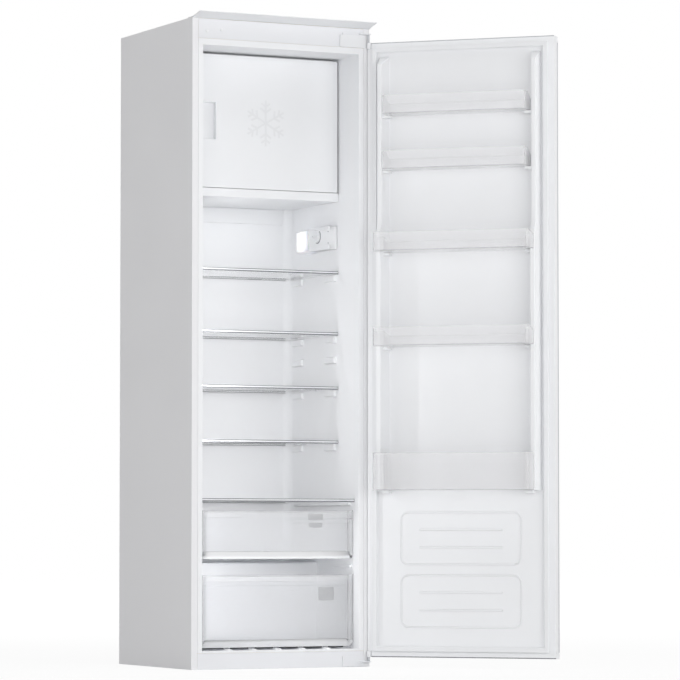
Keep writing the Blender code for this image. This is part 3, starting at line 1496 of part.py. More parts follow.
def build_cabinet(mats):
    side_panel("side_panel_left", -1, mats["steel"])
    side_panel("side_panel_right", 1, mats["steel"])
    top_panel(mats["steel"])
    base_pan(mats["galvanised"])
    front_rail("front_rail_top", FLANGE_TOP + GAP, RAIL_TOP - 2 * GAP, mats["white_steel"])
    front_rail("front_rail_bottom", 0.0, FLANGE_BOTTOM - GAP, mats["white_steel"])
    rear_panel(mats["galvanised"])
    foam_surround(mats["foam"])
    foam_back(mats["foam"])
    foam_base(mats["foam"])
    inner_liner(mats["liner"])
    top_trim(mats["trim"])
    hinge_cover(mats["trim"])
    top_pin = (DOOR_Z[1] - PIN_DEPTH + GAP, TOP_TONGUE_Z + TONGUE_THICK / 2)
    bottom_pin = (LOW_TONGUE_Z + TONGUE_THICK / 2, DOOR_Z[0] + PIN_DEPTH - GAP)
    top_plate = (COVER_Z[0] + COVER_LIP + GAP, TOP_TONGUE_Z + TONGUE_THICK)
    hinge_bracket("hinge_bracket_top", top_plate, TOP_TONGUE_Z, top_pin, mats["zinc"])
    hinge_bracket("hinge_bracket_bottom", LOW_BRACKET, LOW_TONGUE_Z, bottom_pin, mats["zinc"])
    for name, inset, drop in zip(("blanking_plug_a", "blanking_plug_b"), PLUG_INSETS, PLUG_DROPS):
        blanking_plug(name, inset - SIDE_X, CABINET_HEIGHT - drop, mats["trim"])


def build_freezer(mats):
    freezer_box(mats["aluminium"])
    freezer_floor(mats["liner"])
    freezer_frame(mats["liner"])
    pivot = (FREEZER_PIVOT_X, at(FREEZER_PIVOT_DEPTH), 0.0)
    pieces = [
        freezer_door_panel(mats["liner"]),
        freezer_door_core(mats["liner"]),
        freezer_door_gasket(mats["gasket"]),
    ]
    for piece in pieces:
        place(piece, pivot)


def build_interior(mats):
    thermostat_housing(mats["trim"])
    lamp_diffuser(mats["diffuser"])
    lamp_board(mats["board"])
    thermostat_knob(mats["trim"])
    for i, bottom in enumerate(SHELF_BOTTOMS, 1):
        frame = shelf_frame(f"shelf_{i}_frame", bottom, SHELF_FRONT, mats["shelf_trim"])
        glass = shelf_glass(f"shelf_{i}_glass", bottom, SHELF_FRONT, mats["glass"])
        place(frame, (0.0, at(SHELF_FRONT), bottom))
        place(glass, (0.0, at(SHELF_FRONT), bottom))
    shelf_frame("crisper_cover_frame", COVER_BOTTOM, COVER_FRONT, mats["shelf_trim"])
    shelf_glass("crisper_cover_glass", COVER_BOTTOM, COVER_FRONT, mats["glass"])
    drain_tube(mats["trim"])


def build_drawers(mats):
    upper = drawer("upper_drawer", UPPER_DRAWER, UPPER_DRAWER_BACK, True, mats["clear"])
    lower = drawer("lower_drawer", LOWER_DRAWER, LOWER_DRAWER_BACK, False, mats["clear"])
    upper_top = UPPER_DRAWER[1]
    lower_top = LOWER_DRAWER[1]
    upper_pad = drawer_pad("upper_drawer_pad", UPPER_PAD_X, UPPER_PAD_DROP, upper_top, 0.0, mats["pad"])
    lower_pad = drawer_pad("lower_drawer_pad", LOWER_PAD_X, LOWER_PAD_DROP, lower_top, PAD_SLANT, mats["pad"])
    for piece, zs in ((upper, UPPER_DRAWER), (upper_pad, UPPER_DRAWER)):
        place(piece, (0.0, at(DRAWER_FRONT), zs[0]))
    for piece, zs in ((lower, LOWER_DRAWER), (lower_pad, LOWER_DRAWER)):
        place(piece, (0.0, at(DRAWER_FRONT), zs[0]))


def build_door(mats):
    pivot = (PIVOT_X, at(PIVOT_DEPTH), 0.0)
    hinge = empty("door_hinge", pivot, DOOR_OPEN)
    low, high = DOOR_Z
    pieces = [
        door_skin(mats["steel"]),
        door_foam(mats["foam"]),
        door_liner(mats["liner"]),
        door_gasket(mats["gasket"]),
        door_cap("door_cap_top", high - CAP_HEIGHT, high, high - PIN_DEPTH, mats["trim"]),
        door_cap("door_cap_bottom", low, low + CAP_HEIGHT, low - PAST, mats["trim"]),
    ]
    for i, bottom in enumerate(BIN_FLOORS, 1):
        is_wide = i > SLIM_BIN_COUNT
        slope_end = WIDE_BIN_SLOPE if is_wide else SLIM_BIN_SLOPE
        pieces.append(door_bin(f"door_bin_{i}", bottom, BIN_HEIGHT, is_wide, slope_end, mats["clear"]))
    pieces.append(door_bin("bottle_bin", BOTTLE_FLOOR, BOTTLE_HEIGHT, True, 0.0, mats["clear"]))
    for piece in pieces:
        place(piece, pivot, hinge)


def build_machine(mats):
    fridge_evaporator(mats["aluminium"])
    compressor(mats["black_steel"])
    terminal_box(mats["black_plastic"])
    evaporating_tray(mats["black_plastic"])
    condenser_coil(mats["black_steel"])
    condenser_frame(mats["black_plastic"])
    filter_drier(mats["copper"])


def main():
    clear_scene()
    mats = {
        "steel": material("painted_steel", (0.53, 0.53, 0.55), 0.45),
        "white_steel": material("white_steel", (0.84, 0.85, 0.87), 0.4),
        "galvanised": material("galvanised_steel", (0.55, 0.56, 0.57), 0.5, 0.9),
        "zinc": material("zinc_steel", (0.45, 0.45, 0.46), 0.35, 1.0),
        "foam": material("polyurethane_foam", (0.85, 0.78, 0.55), 0.9),
        "liner": material("white_polystyrene", (0.84, 0.85, 0.87), 0.4),
        "trim": material("white_plastic", (0.82, 0.83, 0.85), 0.45),
        "aluminium": material("aluminium", (0.78, 0.79, 0.80), 0.4, 1.0),
        "gasket": material("white_gasket", (0.80, 0.81, 0.83), 0.6),
        "diffuser": material("opal_plastic", (0.95, 0.95, 0.97), 0.4),
        "board": material("circuit_board", (0.85, 0.87, 0.85), 0.6),
        "shelf_trim": material("shelf_trim", (0.60, 0.61, 0.63), 0.35, 0.3),
        "glass": material("shelf_glass", (0.86, 0.90, 0.89), 0.05, 0.0, 0.25),
        "clear": material("clear_plastic", (0.87, 0.88, 0.90), 0.15, 0.0, 0.35),
        "pad": material("grey_plastic", (0.45, 0.46, 0.48), 0.5),
        "black_steel": material("black_steel", (0.02, 0.02, 0.02), 0.4),
        "black_plastic": material("black_plastic", (0.03, 0.03, 0.03), 0.5),
        "copper": material("copper", (0.72, 0.42, 0.28), 0.35, 1.0),
    }
    build_cabinet(mats)
    build_freezer(mats)
    build_interior(mats)
    build_drawers(mats)
    build_door(mats)
    build_machine(mats)


TOOLS = {}
main()
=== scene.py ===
# %% [markdown]
# # A built-in refrigerator with its door open
# This lesson dresses a tall kitchen refrigerator that stands with its door swung
# wide open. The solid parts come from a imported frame, in metres. We give each of
# them a real finish, and model again the pieces whose fine shape the eye looks
# for: rounded mouldings, the bellows of the seals, screws, wires and tubes.

# %% Load the frame
import json
import math

import bmesh
import bpy
from mathutils import Matrix, Vector


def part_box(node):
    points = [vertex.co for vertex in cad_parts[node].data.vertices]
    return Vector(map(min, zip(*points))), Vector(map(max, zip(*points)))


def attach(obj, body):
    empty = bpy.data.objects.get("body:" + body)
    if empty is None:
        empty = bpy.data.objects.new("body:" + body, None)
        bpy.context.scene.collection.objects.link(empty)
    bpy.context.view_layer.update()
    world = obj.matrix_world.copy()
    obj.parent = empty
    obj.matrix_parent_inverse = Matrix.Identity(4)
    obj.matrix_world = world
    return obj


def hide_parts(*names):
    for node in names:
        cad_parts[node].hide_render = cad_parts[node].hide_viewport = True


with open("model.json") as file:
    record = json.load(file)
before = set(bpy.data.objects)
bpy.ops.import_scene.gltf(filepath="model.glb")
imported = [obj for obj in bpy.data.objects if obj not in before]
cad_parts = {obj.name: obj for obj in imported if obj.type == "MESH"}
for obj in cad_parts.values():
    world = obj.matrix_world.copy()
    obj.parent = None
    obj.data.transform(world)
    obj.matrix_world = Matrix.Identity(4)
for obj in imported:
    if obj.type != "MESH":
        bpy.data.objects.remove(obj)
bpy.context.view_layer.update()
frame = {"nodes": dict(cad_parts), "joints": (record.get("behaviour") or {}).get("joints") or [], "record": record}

MM = 0.001

# %% [markdown]
# ## The camera
# A long lens far away keeps upright edges parallel, as in a catalogue picture.
# The camera could be aimed with a constraint, but a direction vector turned into
# a rotation is easier to read and stays put.

# %% Set the camera
CAMERA_AT = Vector((-4.3409, -9.2501, 0.3889))
CAMERA_YAW = math.radians(26.657)
CAMERA_PITCH = math.radians(2.912)
CAMERA_LENS = 193.2

scene = bpy.context.scene
camera_data = bpy.data.cameras.new("camera")
camera_data.lens = CAMERA_LENS
camera = bpy.data.objects.new("camera", camera_data)
scene.collection.objects.link(camera)
looking = Vector((
    math.sin(CAMERA_YAW) * math.cos(CAMERA_PITCH),
    math.cos(CAMERA_YAW) * math.cos(CAMERA_PITCH),
    math.sin(CAMERA_PITCH),
))
camera.location = CAMERA_AT
camera.rotation_euler = looking.to_track_quat("-Z", "Y").to_euler()
scene.camera = camera
scene.view_settings.view_transform = "Standard"
print("camera", [round(v, 3) for v in camera.location], "lens", CAMERA_LENS)

# %% [markdown]
# ## Colours and nodes
# A paint chart gives sRGB values, but a shader works in linear light, so one
# function turns a hex code into linear numbers. Another one adds a node, sets
# what it is told, and links the sockets that feed it and that it feeds.

# %% Colour and node helpers


def linear(code):
    """An sRGB hex colour as the linear RGBA that a shader takes."""
    parts = [int(code[i:i + 2], 16) / 255 for i in (1, 3, 5)]
    return (*(p / 12.92 if p <= 0.04045 else ((p + 0.055) / 1.055) ** 2.4 for p in parts), 1.0)


def times(colour, factor):
    """A linear colour made darker or lighter, and no lighter than white."""
    return (*(min(1.0, v * factor) for v in colour[:3]), 1.0)


def add(tree, kind, inputs=None, feeds=None, **settings):
    """Add a node, set its settings, fill or link its inputs, and link what it feeds."""
    made = tree.nodes.new("ShaderNode" + kind)
    for name, value in settings.items():
        setattr(made, name, value)
    for name, value in (inputs or {}).items():
        if isinstance(value, bpy.types.NodeSocket):
            tree.links.new(value, made.inputs[name])
        else:
            made.inputs[name].default_value = value
    for name, socket in (feeds or {}).items():
        tree.links.new(made.outputs[name], socket)
    return made


def material(name, code, **sockets):
    """A material of this colour and these socket values, its tree, shader and place."""
    made = bpy.data.materials.new(name)
    made.use_nodes = True
    tree = made.node_tree
    shader = tree.nodes["Principled BSDF"]
    shader.inputs["Base Color"].default_value = linear(code)
    for key, value in sockets.items():
        shader.inputs[key.replace("_", " ")].default_value = value
    return made, tree, shader, add(tree, "TexCoord").outputs["Object"]


print("white enamel in linear light:", [round(v, 3) for v in linear("#F1F2F4")])

# %% [markdown]
# ## Moulded plastics
# Most of what we see is plastic. Vacuum-formed HIPS makes the liners: it is a
# little glossy and never perfectly flat. Injection-moulded ABS makes the covers,
# with a fine spark-eroded grain. One recipe serves them all: a grain whose size
# is given in millimetres drives the bump, and a slow cloud drifts the gloss. A
# real grain of 0.3 mm would vanish at this distance, so it is drawn coarser.

# %% Moulded plastic finishes
FINISH = {}
# A noise seldom leaves this band, so the band is spread over the whole gloss
NOISE_BAND = {"From Min": 0.3, "From Max": 0.7}


def scale_of(size_mm):
    """The scale of a texture whose cells are so many millimetres wide."""
    return 1000.0 / size_mm


def shaded(tree, shader, code, factor, dark, bright):
    """Let a factor drift the colour from a darker to a brighter one."""
    add(tree, "Mix", {
        "Factor": factor, "A": times(linear(code), dark), "B": times(linear(code), bright)},
        {"Result": shader.inputs["Base Color"]}, data_type="RGBA")


def surfaced(tree, shader, noise, gloss, height, bump, under=()):
    """Let one noise drift the gloss, and another raise the surface by millimetres."""
    add(tree, "MapRange", {
        "Value": noise.outputs["Fac"], **NOISE_BAND, "To Min": gloss[0], "To Max": gloss[1]},
        {"Result": shader.inputs["Roughness"]})
    add(tree, "Bump", {
        "Height": height.outputs["Fac"], "Distance": bump * MM, **dict(under)},
        {"Normal": shader.inputs["Normal"]})


def moulded(name, code, gloss, grain_mm, bump, cloud_mm=160.0, tint=0.02, **sockets):
    """A plastic: grain in its height, and a slow drift in its gloss and colour."""
    made, tree, shader, place = material(name, code, **sockets)
    grain = add(tree, "TexNoise", {"Vector": place, "Scale": scale_of(grain_mm), "Detail": 3.0})
    cloud = add(tree, "TexNoise", {"Vector": place, "Scale": scale_of(cloud_mm), "Detail": 2.0})
    shaded(tree, shader, code, cloud.outputs["Fac"], 1.0 - tint, 1.0 + tint)
    surfaced(tree, shader, cloud, gloss, grain, bump)
    return made


# Vacuum-formed high-impact polystyrene: satin, wavy over a hand's width
FINISH["white_polystyrene"] = moulded(
    "thermoformed white HIPS", "#F4F5F7", (0.34, 0.46), 38.0, 0.10, IOR=1.59)
# Injection-moulded ABS with an eroded grain
FINISH["white_plastic"] = moulded(
    "moulded white ABS", "#F0F1F3", (0.38, 0.50), 1.4, 0.012, IOR=1.53)
# Soft PVC of the magnetic seals: matt, slightly greyer
FINISH["gasket"] = moulded(
    "soft PVC seal", "#F0F1F3", (0.50, 0.62), 2.2, 0.02, IOR=1.53, Sheen_Weight=0.08)
# Grey ABS inserts of the drawers
FINISH["grey_plastic"] = moulded(
    "moulded grey ABS", "#3C3E42", (0.38, 0.50), 1.2, 0.012, IOR=1.53)
# Black polypropylene of the tray and the relay box
FINISH["black_plastic"] = moulded(
    "moulded black polypropylene", "#1B1C1E", (0.42, 0.60), 1.6, 0.03, IOR=1.49)
print("plastics:", sorted(FINISH))

# %% [markdown]
# ## Painted and bare metals
# The cabinet's sides are coil-coated steel, painted before it was bent, with a
# faint orange peel. The back and the hinges are hot-dip galvanised, which grows
# crystals the size of a thumbnail: Voronoi cells, each of its own brightness.
# The freezer box is rolled aluminium, so its noise is stretched along the roll.

# %% Metal finishes


def enamelled(name, code, gloss, peel_mm, bump, wave_mm=260.0, wave_bump=0.35, **sockets):
    """Paint on sheet metal: orange peel at one scale and soft waves at another."""
    made, tree, shader, place = material(name, code, **sockets)
    peel = add(tree, "TexNoise", {"Vector": place, "Scale": scale_of(peel_mm), "Detail": 2.0})
    wave = add(tree, "TexNoise", {"Vector": place, "Scale": scale_of(wave_mm), "Detail": 1.0})
    broad = add(tree, "Bump", {"Height": wave.outputs["Fac"], "Distance": wave_bump * MM})
    surfaced(tree, shader, wave, gloss, peel, bump, {"Normal": broad.outputs["Normal"]})
    return made


FINISH["painted_steel"] = enamelled(
    "coil-coated steel", "#F0F0F2", (0.34, 0.46), 3.0, 0.012, IOR=1.50)
FINISH["white_steel"] = enamelled(
    "white enamelled steel", "#EDEEF1", (0.26, 0.36), 3.0, 0.012, IOR=1.50, Coat_Weight=0.2)
FINISH["black_steel"] = enamelled(
    "black enamelled steel", "#141516", (0.30, 0.48), 2.5, 0.02, IOR=1.50)


def galvanised(name, code, gloss, spangle_mm, dark=0.82, bright=1.12):
    """Zinc crystals: each Voronoi cell has a brightness and a gloss of its own."""
    made, tree, shader, place = material(name, code, Metallic=0.85)
    cells = add(tree, "TexVoronoi", {"Vector": place, "Scale": scale_of(spangle_mm)})
    value = add(tree, "RGBToBW", {"Color": cells.outputs["Color"]})
    add(tree, "MapRange", {
        "Value": value.outputs["Val"], "To Min": gloss[0], "To Max": gloss[1]},
        {"Result": shader.inputs["Roughness"]})
    shaded(tree, shader, code, value.outputs["Val"], dark, bright)
    return made


FINISH["galvanised_steel"] = galvanised("hot-dip galvanised steel", "#B9BCBF", (0.34, 0.56), 11.0)


def rolled(name, code, gloss, grain_mm, stretch, bump=0.01):
    """Metal with fine lines along its roll, drawn by a noise stretched along X."""
    made, tree, shader, place = material(name, code, Metallic=1.0)
    turned = add(tree, "Mapping", {"Vector": place, "Scale": (1.0 / stretch, 1.0, 1.0)})
    lines = add(tree, "TexNoise", {
        "Vector": turned.outputs["Vector"], "Scale": scale_of(grain_mm), "Detail": 4.0})
    surfaced(tree, shader, lines, gloss, lines, bump)
    return made


FINISH["aluminium"] = rolled("rolled aluminium sheet", "#D6D8DA", (0.28, 0.44), 1.2, 40.0)
FINISH["copper"] = rolled("drawn copper", "#C98B6B", (0.24, 0.40), 0.8, 12.0)
ZINC = rolled("zinc-plated steel", "#C9CCD0", (0.24, 0.38), 0.8, 3.0)
# Dark grey that paints the shade in the screws' cross recesses
RECESS_SHADE_STEEL = rolled("phosphated steel", "#4A4C50", (0.36, 0.50), 0.8, 3.0)
print("with metals:", len(FINISH), "finishes")

# %% [markdown]
# ## Clear and milky finishes
# The shelves are toughened glass, the drawers' tubs clear polystyrene, and the
# bins and drawer fronts a milky one, which scatters part of the light. The
# Principled shader's transmission bends light as glass does, and a share below
# 1 makes it milky. Lamps find no quick way through bent rays, so a Light Path
# node lets shadow rays pass straight, and the shelves don't darken the food.

# %% Clear and milky finishes
# Wear shows only where the noise is high
WEAR_BAND = {"From Min": 0.4, "From Max": 0.75}


def mixed_out(tree, share, one, other):
    """Send a mix of two shaders to the output; the share is the other one's."""
    add(tree, "MixShader", {"Fac": share, 1: one, 2: other},
        {"Shader": tree.nodes["Material Output"].inputs["Surface"]})


def clear(name, code, gloss, shade_code, passing_share, ior=1.50, wear_mm=30.0):
    """A clear or milky solid whose shadow is only tinted, with faint wear in its gloss."""
    made, tree, shader, place = material(name, code, IOR=ior, Transmission_Weight=passing_share)
    wear = add(tree, "TexNoise", {"Vector": place, "Scale": scale_of(wear_mm), "Detail": 5.0})
    add(tree, "MapRange", {
        "Value": wear.outputs["Fac"], **WEAR_BAND, "To Min": gloss[0], "To Max": gloss[1]},
        {"Result": shader.inputs["Roughness"]})
    passing = add(tree, "BsdfTransparent", {"Color": linear(shade_code)})
    mixed_out(tree, add(tree, "LightPath").outputs["Is Shadow Ray"],
              shader.outputs["BSDF"], passing.outputs["BSDF"])
    return made


FINISH["clear_plastic"] = clear(
    "clear moulded polystyrene", "#FDFDFE", (0.03, 0.10), "#FEFEFE", 0.94)
FINISH["shelf_glass"] = clear(
    "toughened glass", "#FDFDFE", (0.0, 0.03), "#FEFEFE", 1.0, 1.52, 60.0)
THICK_CLEAR = clear("clear polystyrene seen edge on", "#E6E8EB", (0.04, 0.10), "#EEEFF0", 0.92)
FROSTED_FOOT = clear("frosted polystyrene foot", "#F7F8FA", (0.25, 0.40), "#6C6E72", 0.10)
DRAWER_FACE = clear("milky polystyrene front", "#F3F4F6", (0.06, 0.14), "#F8F8F9", 0.80)
DRAWER_BORDER = clear("milky polystyrene border", "#F6F7F8", (0.10, 0.18), "#F4F4F5", 0.77)
DRAWER_FOOT = clear("milky polystyrene foot", "#F6F7F8", (0.10, 0.18), "#F4F4F5", 0.55)
BIN_CLEAR = clear("thin milky polystyrene", "#FAFAFB", (0.06, 0.14), "#FEFEFE", 0.78)
print("finishes so far:", len(FINISH))

# %% [markdown]
# ## Trims, print and rubber
# Small parts outline the object: grey lines of painted shade on the shelves,
# shaded grip edges, bands of painted shade along the door, pad print, whose grey
# also paints small shadows, and rubber. The recipe for plastics makes them all,
# with the foam and the lamp board.

# %% Trims, print and rubber
FINISH["shelf_trim"] = moulded(
    "pale polystyrene trim", "#F0F1F3", (0.24, 0.34), 6.0, 0.01, IOR=1.59)
FINISH["circuit_board"] = moulded(
    "white solder mask", "#EEF1EE", (0.28, 0.36), 2.0, 0.01, IOR=1.50)
FINISH["foam"] = moulded(
    "rigid polyurethane foam", "#E6D3A2", (0.75, 0.95), 2.4, 0.9, cloud_mm=30.0, tint=0.10)
# Grey lines of painted shade along the shelf trims' upper and lower edges
TRIM_SHADE_LINE = moulded("silver-grey trim line", "#707276", (0.24, 0.34), 6.0, 0.01, IOR=1.59)
GRIP_LINE = moulded("shaded grip edge", "#B4B6BB", (0.30, 0.40), 6.0, 0.01, IOR=1.59)
# Grey and dark bands of painted shade along the door's edges and seams
EDGE_SHADE_GREY = moulded("grey edge band", "#BFC1C5", (0.36, 0.46), 6.0, 0.01, IOR=1.53)
EDGE_SHADE_DARK = moulded("dark edge band", "#7E8084", (0.36, 0.46), 6.0, 0.01, IOR=1.53)
FLAKE_EDGE = moulded("shaded relief", "#EEEFF1", (0.40, 0.50), 38.0, 0.02, IOR=1.59)
# Grey pad print for the knob's mark, also painted shade round the dial and on two pins
PRINT_AND_SHADE_GREY = moulded("grey pad print", "#8E9094", (0.40, 0.50), 1.0, 0.004)
RUBBER = moulded("black rubber", "#232325", (0.60, 0.75), 1.5, 0.03, IOR=1.52)
print("finishes so far:", len(FINISH))

# %% [markdown]
# ## The glowing lamp cover
# The cover is opal plastic over a bulb. It glows most before the bulb and less
# outwards, so the distance from its middle drives the emission. Fine prisms are
# a wave in its height.

# %% Lamp cover finish
GLOW_CORE, GLOW_REACH, GLOW_LEVEL = 0.012, 0.046, 0.80
PRISM_PITCH = 0.0025
PRISM_BUMP = 0.2
opal, tree, shader, place = material(
    "opal polystyrene", "#F7F8FA", Roughness=0.35, IOR=1.59, Subsurface_Weight=0.25)
shader.inputs["Emission Color"].default_value = linear("#F6FAFF")
lamp_low, lamp_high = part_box("lamp_diffuser")
from_bulb = add(tree, "VectorMath", {
    0: place, 1: (lamp_low + lamp_high) / 2}, operation="DISTANCE")
add(tree, "MapRange", {
    "Value": from_bulb.outputs["Value"], "From Min": GLOW_CORE, "From Max": GLOW_REACH,
    "To Min": GLOW_LEVEL, "To Max": 0.0}, {"Result": shader.inputs["Emission Strength"]})
prisms = add(tree, "TexWave", {
    "Vector": place, "Scale": 1.0 / (PRISM_PITCH * math.tau)}, bands_direction="Z")
add(tree, "Bump", {"Height": prisms.outputs["Fac"], "Distance": PRISM_BUMP * MM},
    {"Normal": shader.inputs["Normal"]})
FINISH["opal_plastic"] = opal
print("finishes:", len(FINISH))

# %% [markdown]
# ## Every solid gets its finish
# The record names each solid's material and body. Two tables keep both, because
# the new pieces look them up again.

# %% Give every solid its finish
SLOT = {part["node"]: part["material_slot"] for part in frame["record"]["subparts"]}
BODY = {n: b for b, names in frame["record"]["behaviour"]["bodies"].items() for n in names}
for name, obj in frame["nodes"].items():
    obj.data.materials.clear()
    obj.data.materials.append(FINISH[SLOT[name]])
print("dressed", len(SLOT), "solids")

# %% [markdown]
# ## Helpers for new pieces
# Every new piece ends the same way: a mesh object at the origin that rides on
# one body and may stand for a plain solid. Small bmesh helpers make blocks,
# turned shapes and copies, and join them. A copied solid arrives as loose
# triangles, so its doubles are merged and its flat faces dissolved before its
# sharp edges are bevelled: a real moulding has no knife edges, and a soft edge
# catches the light.

# %% Piece helpers
TOUCHING, LOOSE = 0.000001, 0.00002
FLAT_WITHIN = math.radians(0.6)


def placed(name, bm, finishes):
    """A mesh object in the scene, made from a bmesh."""
    mesh = bpy.data.meshes.new(name)
    bm.to_mesh(mesh)
    bm.free()
    for finish in finishes:
        mesh.materials.append(finish)
    obj = bpy.data.objects.new(name, mesh)
    scene.collection.objects.link(obj)
    return obj


def put(name, bm, stands_for=(), finishes=None, body="cabinet", slot=None, sharp=35.0):
    """A finished piece, with the body and slot of the solid that it stands for."""
    if stands_for:
        body, slot = BODY[stands_for[0]], SLOT[stands_for[0]]
    obj = placed(name, bm, finishes or [FINISH[slot]])
    obj.data.shade_smooth()
    obj.data.set_sharp_from_angle(angle=math.radians(sharp))
    flat = obj.modifiers.new("flat faces stay flat", "WEIGHTED_NORMAL")
    flat.keep_sharp = True
    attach(obj, body)
    if stands_for:
        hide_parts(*stands_for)
    return obj


def joined(target, extra, finish=0):
    """Add one bmesh to another, with the number of its finish, or with its own ones."""
    if finish is not None:
        for face in extra.faces:
            face.material_index = finish
    part = bpy.data.meshes.new("part")
    extra.to_mesh(part)
    extra.free()
    target.from_mesh(part)
    bpy.data.meshes.remove(part)


def moved(bm, matrix):
    """Move, turn or stretch a whole bmesh."""
    bmesh.ops.transform(bm, matrix=matrix, verts=bm.verts)
    return bm


def rounded_edges(bm, edges, radius, segments=2):
    """Round some edges to a radius."""
    bmesh.ops.bevel(
        bm, geom=edges, offset=radius, offset_type="OFFSET", segments=segments,
        profile=0.5, affect="EDGES", clamp_overlap=False, material=-1)


def block(low, high, radius=0.0, segments=2):
    """A rounded block between two corners."""
    low, high = Vector(low), Vector(high)
    bm = bmesh.new()
    bmesh.ops.create_cube(bm, size=1.0)
    size = high - low
    moved(bm, Matrix.Translation((low + high) / 2) @ Matrix.Diagonal((*size, 1.0)))
    if radius:
        rounded_edges(bm, bm.edges[:], radius, segments)
    return bm


def spun(bm, spots, lines, axis, steps):
    """Spin a profile all the way round, close it and point its faces outwards."""
    bmesh.ops.spin(
        bm, geom=spots + lines, cent=(0, 0, 0), axis=axis,
        angle=math.tau, steps=steps, use_merge=True)
    bmesh.ops.remove_doubles(bm, verts=bm.verts, dist=TOUCHING)
    bmesh.ops.recalc_face_normals(bm, faces=bm.faces)


def lathe(profile, steps, unit=1.0):
    """A shape turned about Z from (radius, height) points."""
    bm = bmesh.new()
    spots = [bm.verts.new((r * unit, 0.0, z * unit)) for r, z in profile]
    lines = [bm.edges.new(pair) for pair in zip(spots, spots[1:])]
    spun(bm, spots, lines, (0, 0, 1), steps)
    return bm


def towards(direction, origin):
    """The turn that lays Z along a direction, then the move to an origin."""
    turn = Vector((0, 0, 1)).rotation_difference(Vector(direction)).to_matrix().to_4x4()
    return Matrix.Translation(origin) @ turn


def copy_of(node):
    """A clean copy of a solid: doubles merged and flat faces whole."""
    bm = bmesh.new()
    bm.from_mesh(frame["nodes"][node].data)
    bmesh.ops.remove_doubles(bm, verts=bm.verts, dist=LOOSE)
    bmesh.ops.dissolve_limit(bm, angle_limit=FLAT_WITHIN, verts=bm.verts, edges=bm.edges)
    return bm


def sharp_edges(bm, angle=30.0, where=None):
    """The edges that fold by more than an angle in degrees, and pass a test."""
    least = math.radians(angle)
    return [
        e for e in bm.edges
        if len(e.link_faces) == 2 and e.calc_face_angle() > least and (where is None or where(e))]


def softened(node, radius, segments=2, angle=30.0, finishes=None):
    """A piece that stands for a solid, with its sharp edges rounded."""
    bm = copy_of(node)
    rounded_edges(bm, sharp_edges(bm, angle), radius, segments)
    made = put(node + "_moulding", bm, [node], finishes)
    print(f"{node}: {len(made.data.vertices)} points, edges rounded {radius * 1000:.1f} mm")


def mid_edge(edge):
    """The middle of an edge."""
    return (edge.verts[0].co + edge.verts[1].co) / 2


def within(spot, zone):
    """True where a point, mirrored to the right half, lies between a zone's corners."""
    low, high = zone
    return all(low[i] < v < high[i] for i, v in enumerate((abs(spot.x), spot.y, spot.z)))


# %% [markdown]
# ## The door's own frame
# The door stands open, turned about its pins. Its pieces are easier to draw
# closed, along the axes, and to swing open afterwards with one matrix. Boxes of
# its solids are measured in the same closed frame.

# %% Swing matrix of the door
hinge = [j for j in frame["joints"] if j["name"] == "main_door_hinge"][0]
PIVOT = Vector(hinge["pos_m"])
DOOR_OPEN = math.radians(135.0)
TURN = Matrix.Rotation(DOOR_OPEN, 4, "Z")
SWING = Matrix.Translation(PIVOT) @ TURN @ Matrix.Translation(-PIVOT)
CLOSED = SWING.inverted()


def closed_box(node):
    """Lowest and highest corner of a door solid, as if the door were closed."""
    spots = [CLOSED @ v.co for v in frame["nodes"][node].data.vertices]
    low = Vector([min(p[i] for p in spots) for i in range(3)])
    high = Vector([max(p[i] for p in spots) for i in range(3)])
    return low, high


door_low, door_high = closed_box("door_liner")
print("closed door liner", [round(v, 4) for v in door_low], [round(v, 4) for v in door_high])

# %% [markdown]
# ## Sheet metal and mouldings of the cabinet
# Bent sheet has a small outer radius, and the fold is what draws the white line
# along a cabinet's front. The mouldings are rounder: 1 to 2 mm. On a hinge
# bracket only the faces near the pin's axis take the bare zinc of the pin.

# %% Cabinet sheet and mouldings
for node in ("side_panel_left", "side_panel_right", "front_rail_top", "front_rail_bottom"):
    softened(node, radius=0.0004)
softened("top_trim", radius=0.0006)
softened("hinge_cover", radius=0.0010, segments=3)
PIN = Vector((0.264, -0.2551, 0.0))
PIN_REACH = 0.0043
for node in ("hinge_bracket_top", "hinge_bracket_bottom"):
    bm = copy_of(node)
    rounded_edges(bm, sharp_edges(bm), 0.0005)
    for face in bm.faces:
        spot = face.calc_center_median()
        near_axis = math.hypot(spot.x - PIN.x, spot.y - PIN.y) < PIN_REACH
        face.material_index = 1 if near_axis and abs(face.normal.z) < 0.5 else 0
    put(node + "_pressing", bm, [node], [FINISH["white_steel"], ZINC])

# %% [markdown]
# ## Inner liner
# The liner is drawn from one heated sheet, so its ribs are round: they get a
# larger radius than the other edges. The floor's ribs also narrow and sink at
# their front ends, where their points are pulled towards each rib's middle.
# What sits on the liner is rounded after it.

# %% Inner liner
# Zones are in the right half, in metres, from the lowest to the highest corner
WALL_RIBS = ((0.2285, -0.20, 0.30), (0.2380, 0.18, 1.25))
FLOOR_RIBS = ((-1.0, -0.238, 0.0495), (0.17, 0.0, 0.0570))
RIB_NOSES = ((-1.0, -1.0, 0.0545), (0.17, -0.225, 0.0575))
RIB_ROUNDING = 0.0032
FLOOR_RIB_PITCH = 0.0745
NOSE_TAPER = 0.45
NOSE_DROP = 0.0026


def on_rib(edge):
    """True on the ribs, which stand proud of the walls and the floor."""
    return within(mid_edge(edge), WALL_RIBS) or within(mid_edge(edge), FLOOR_RIBS)


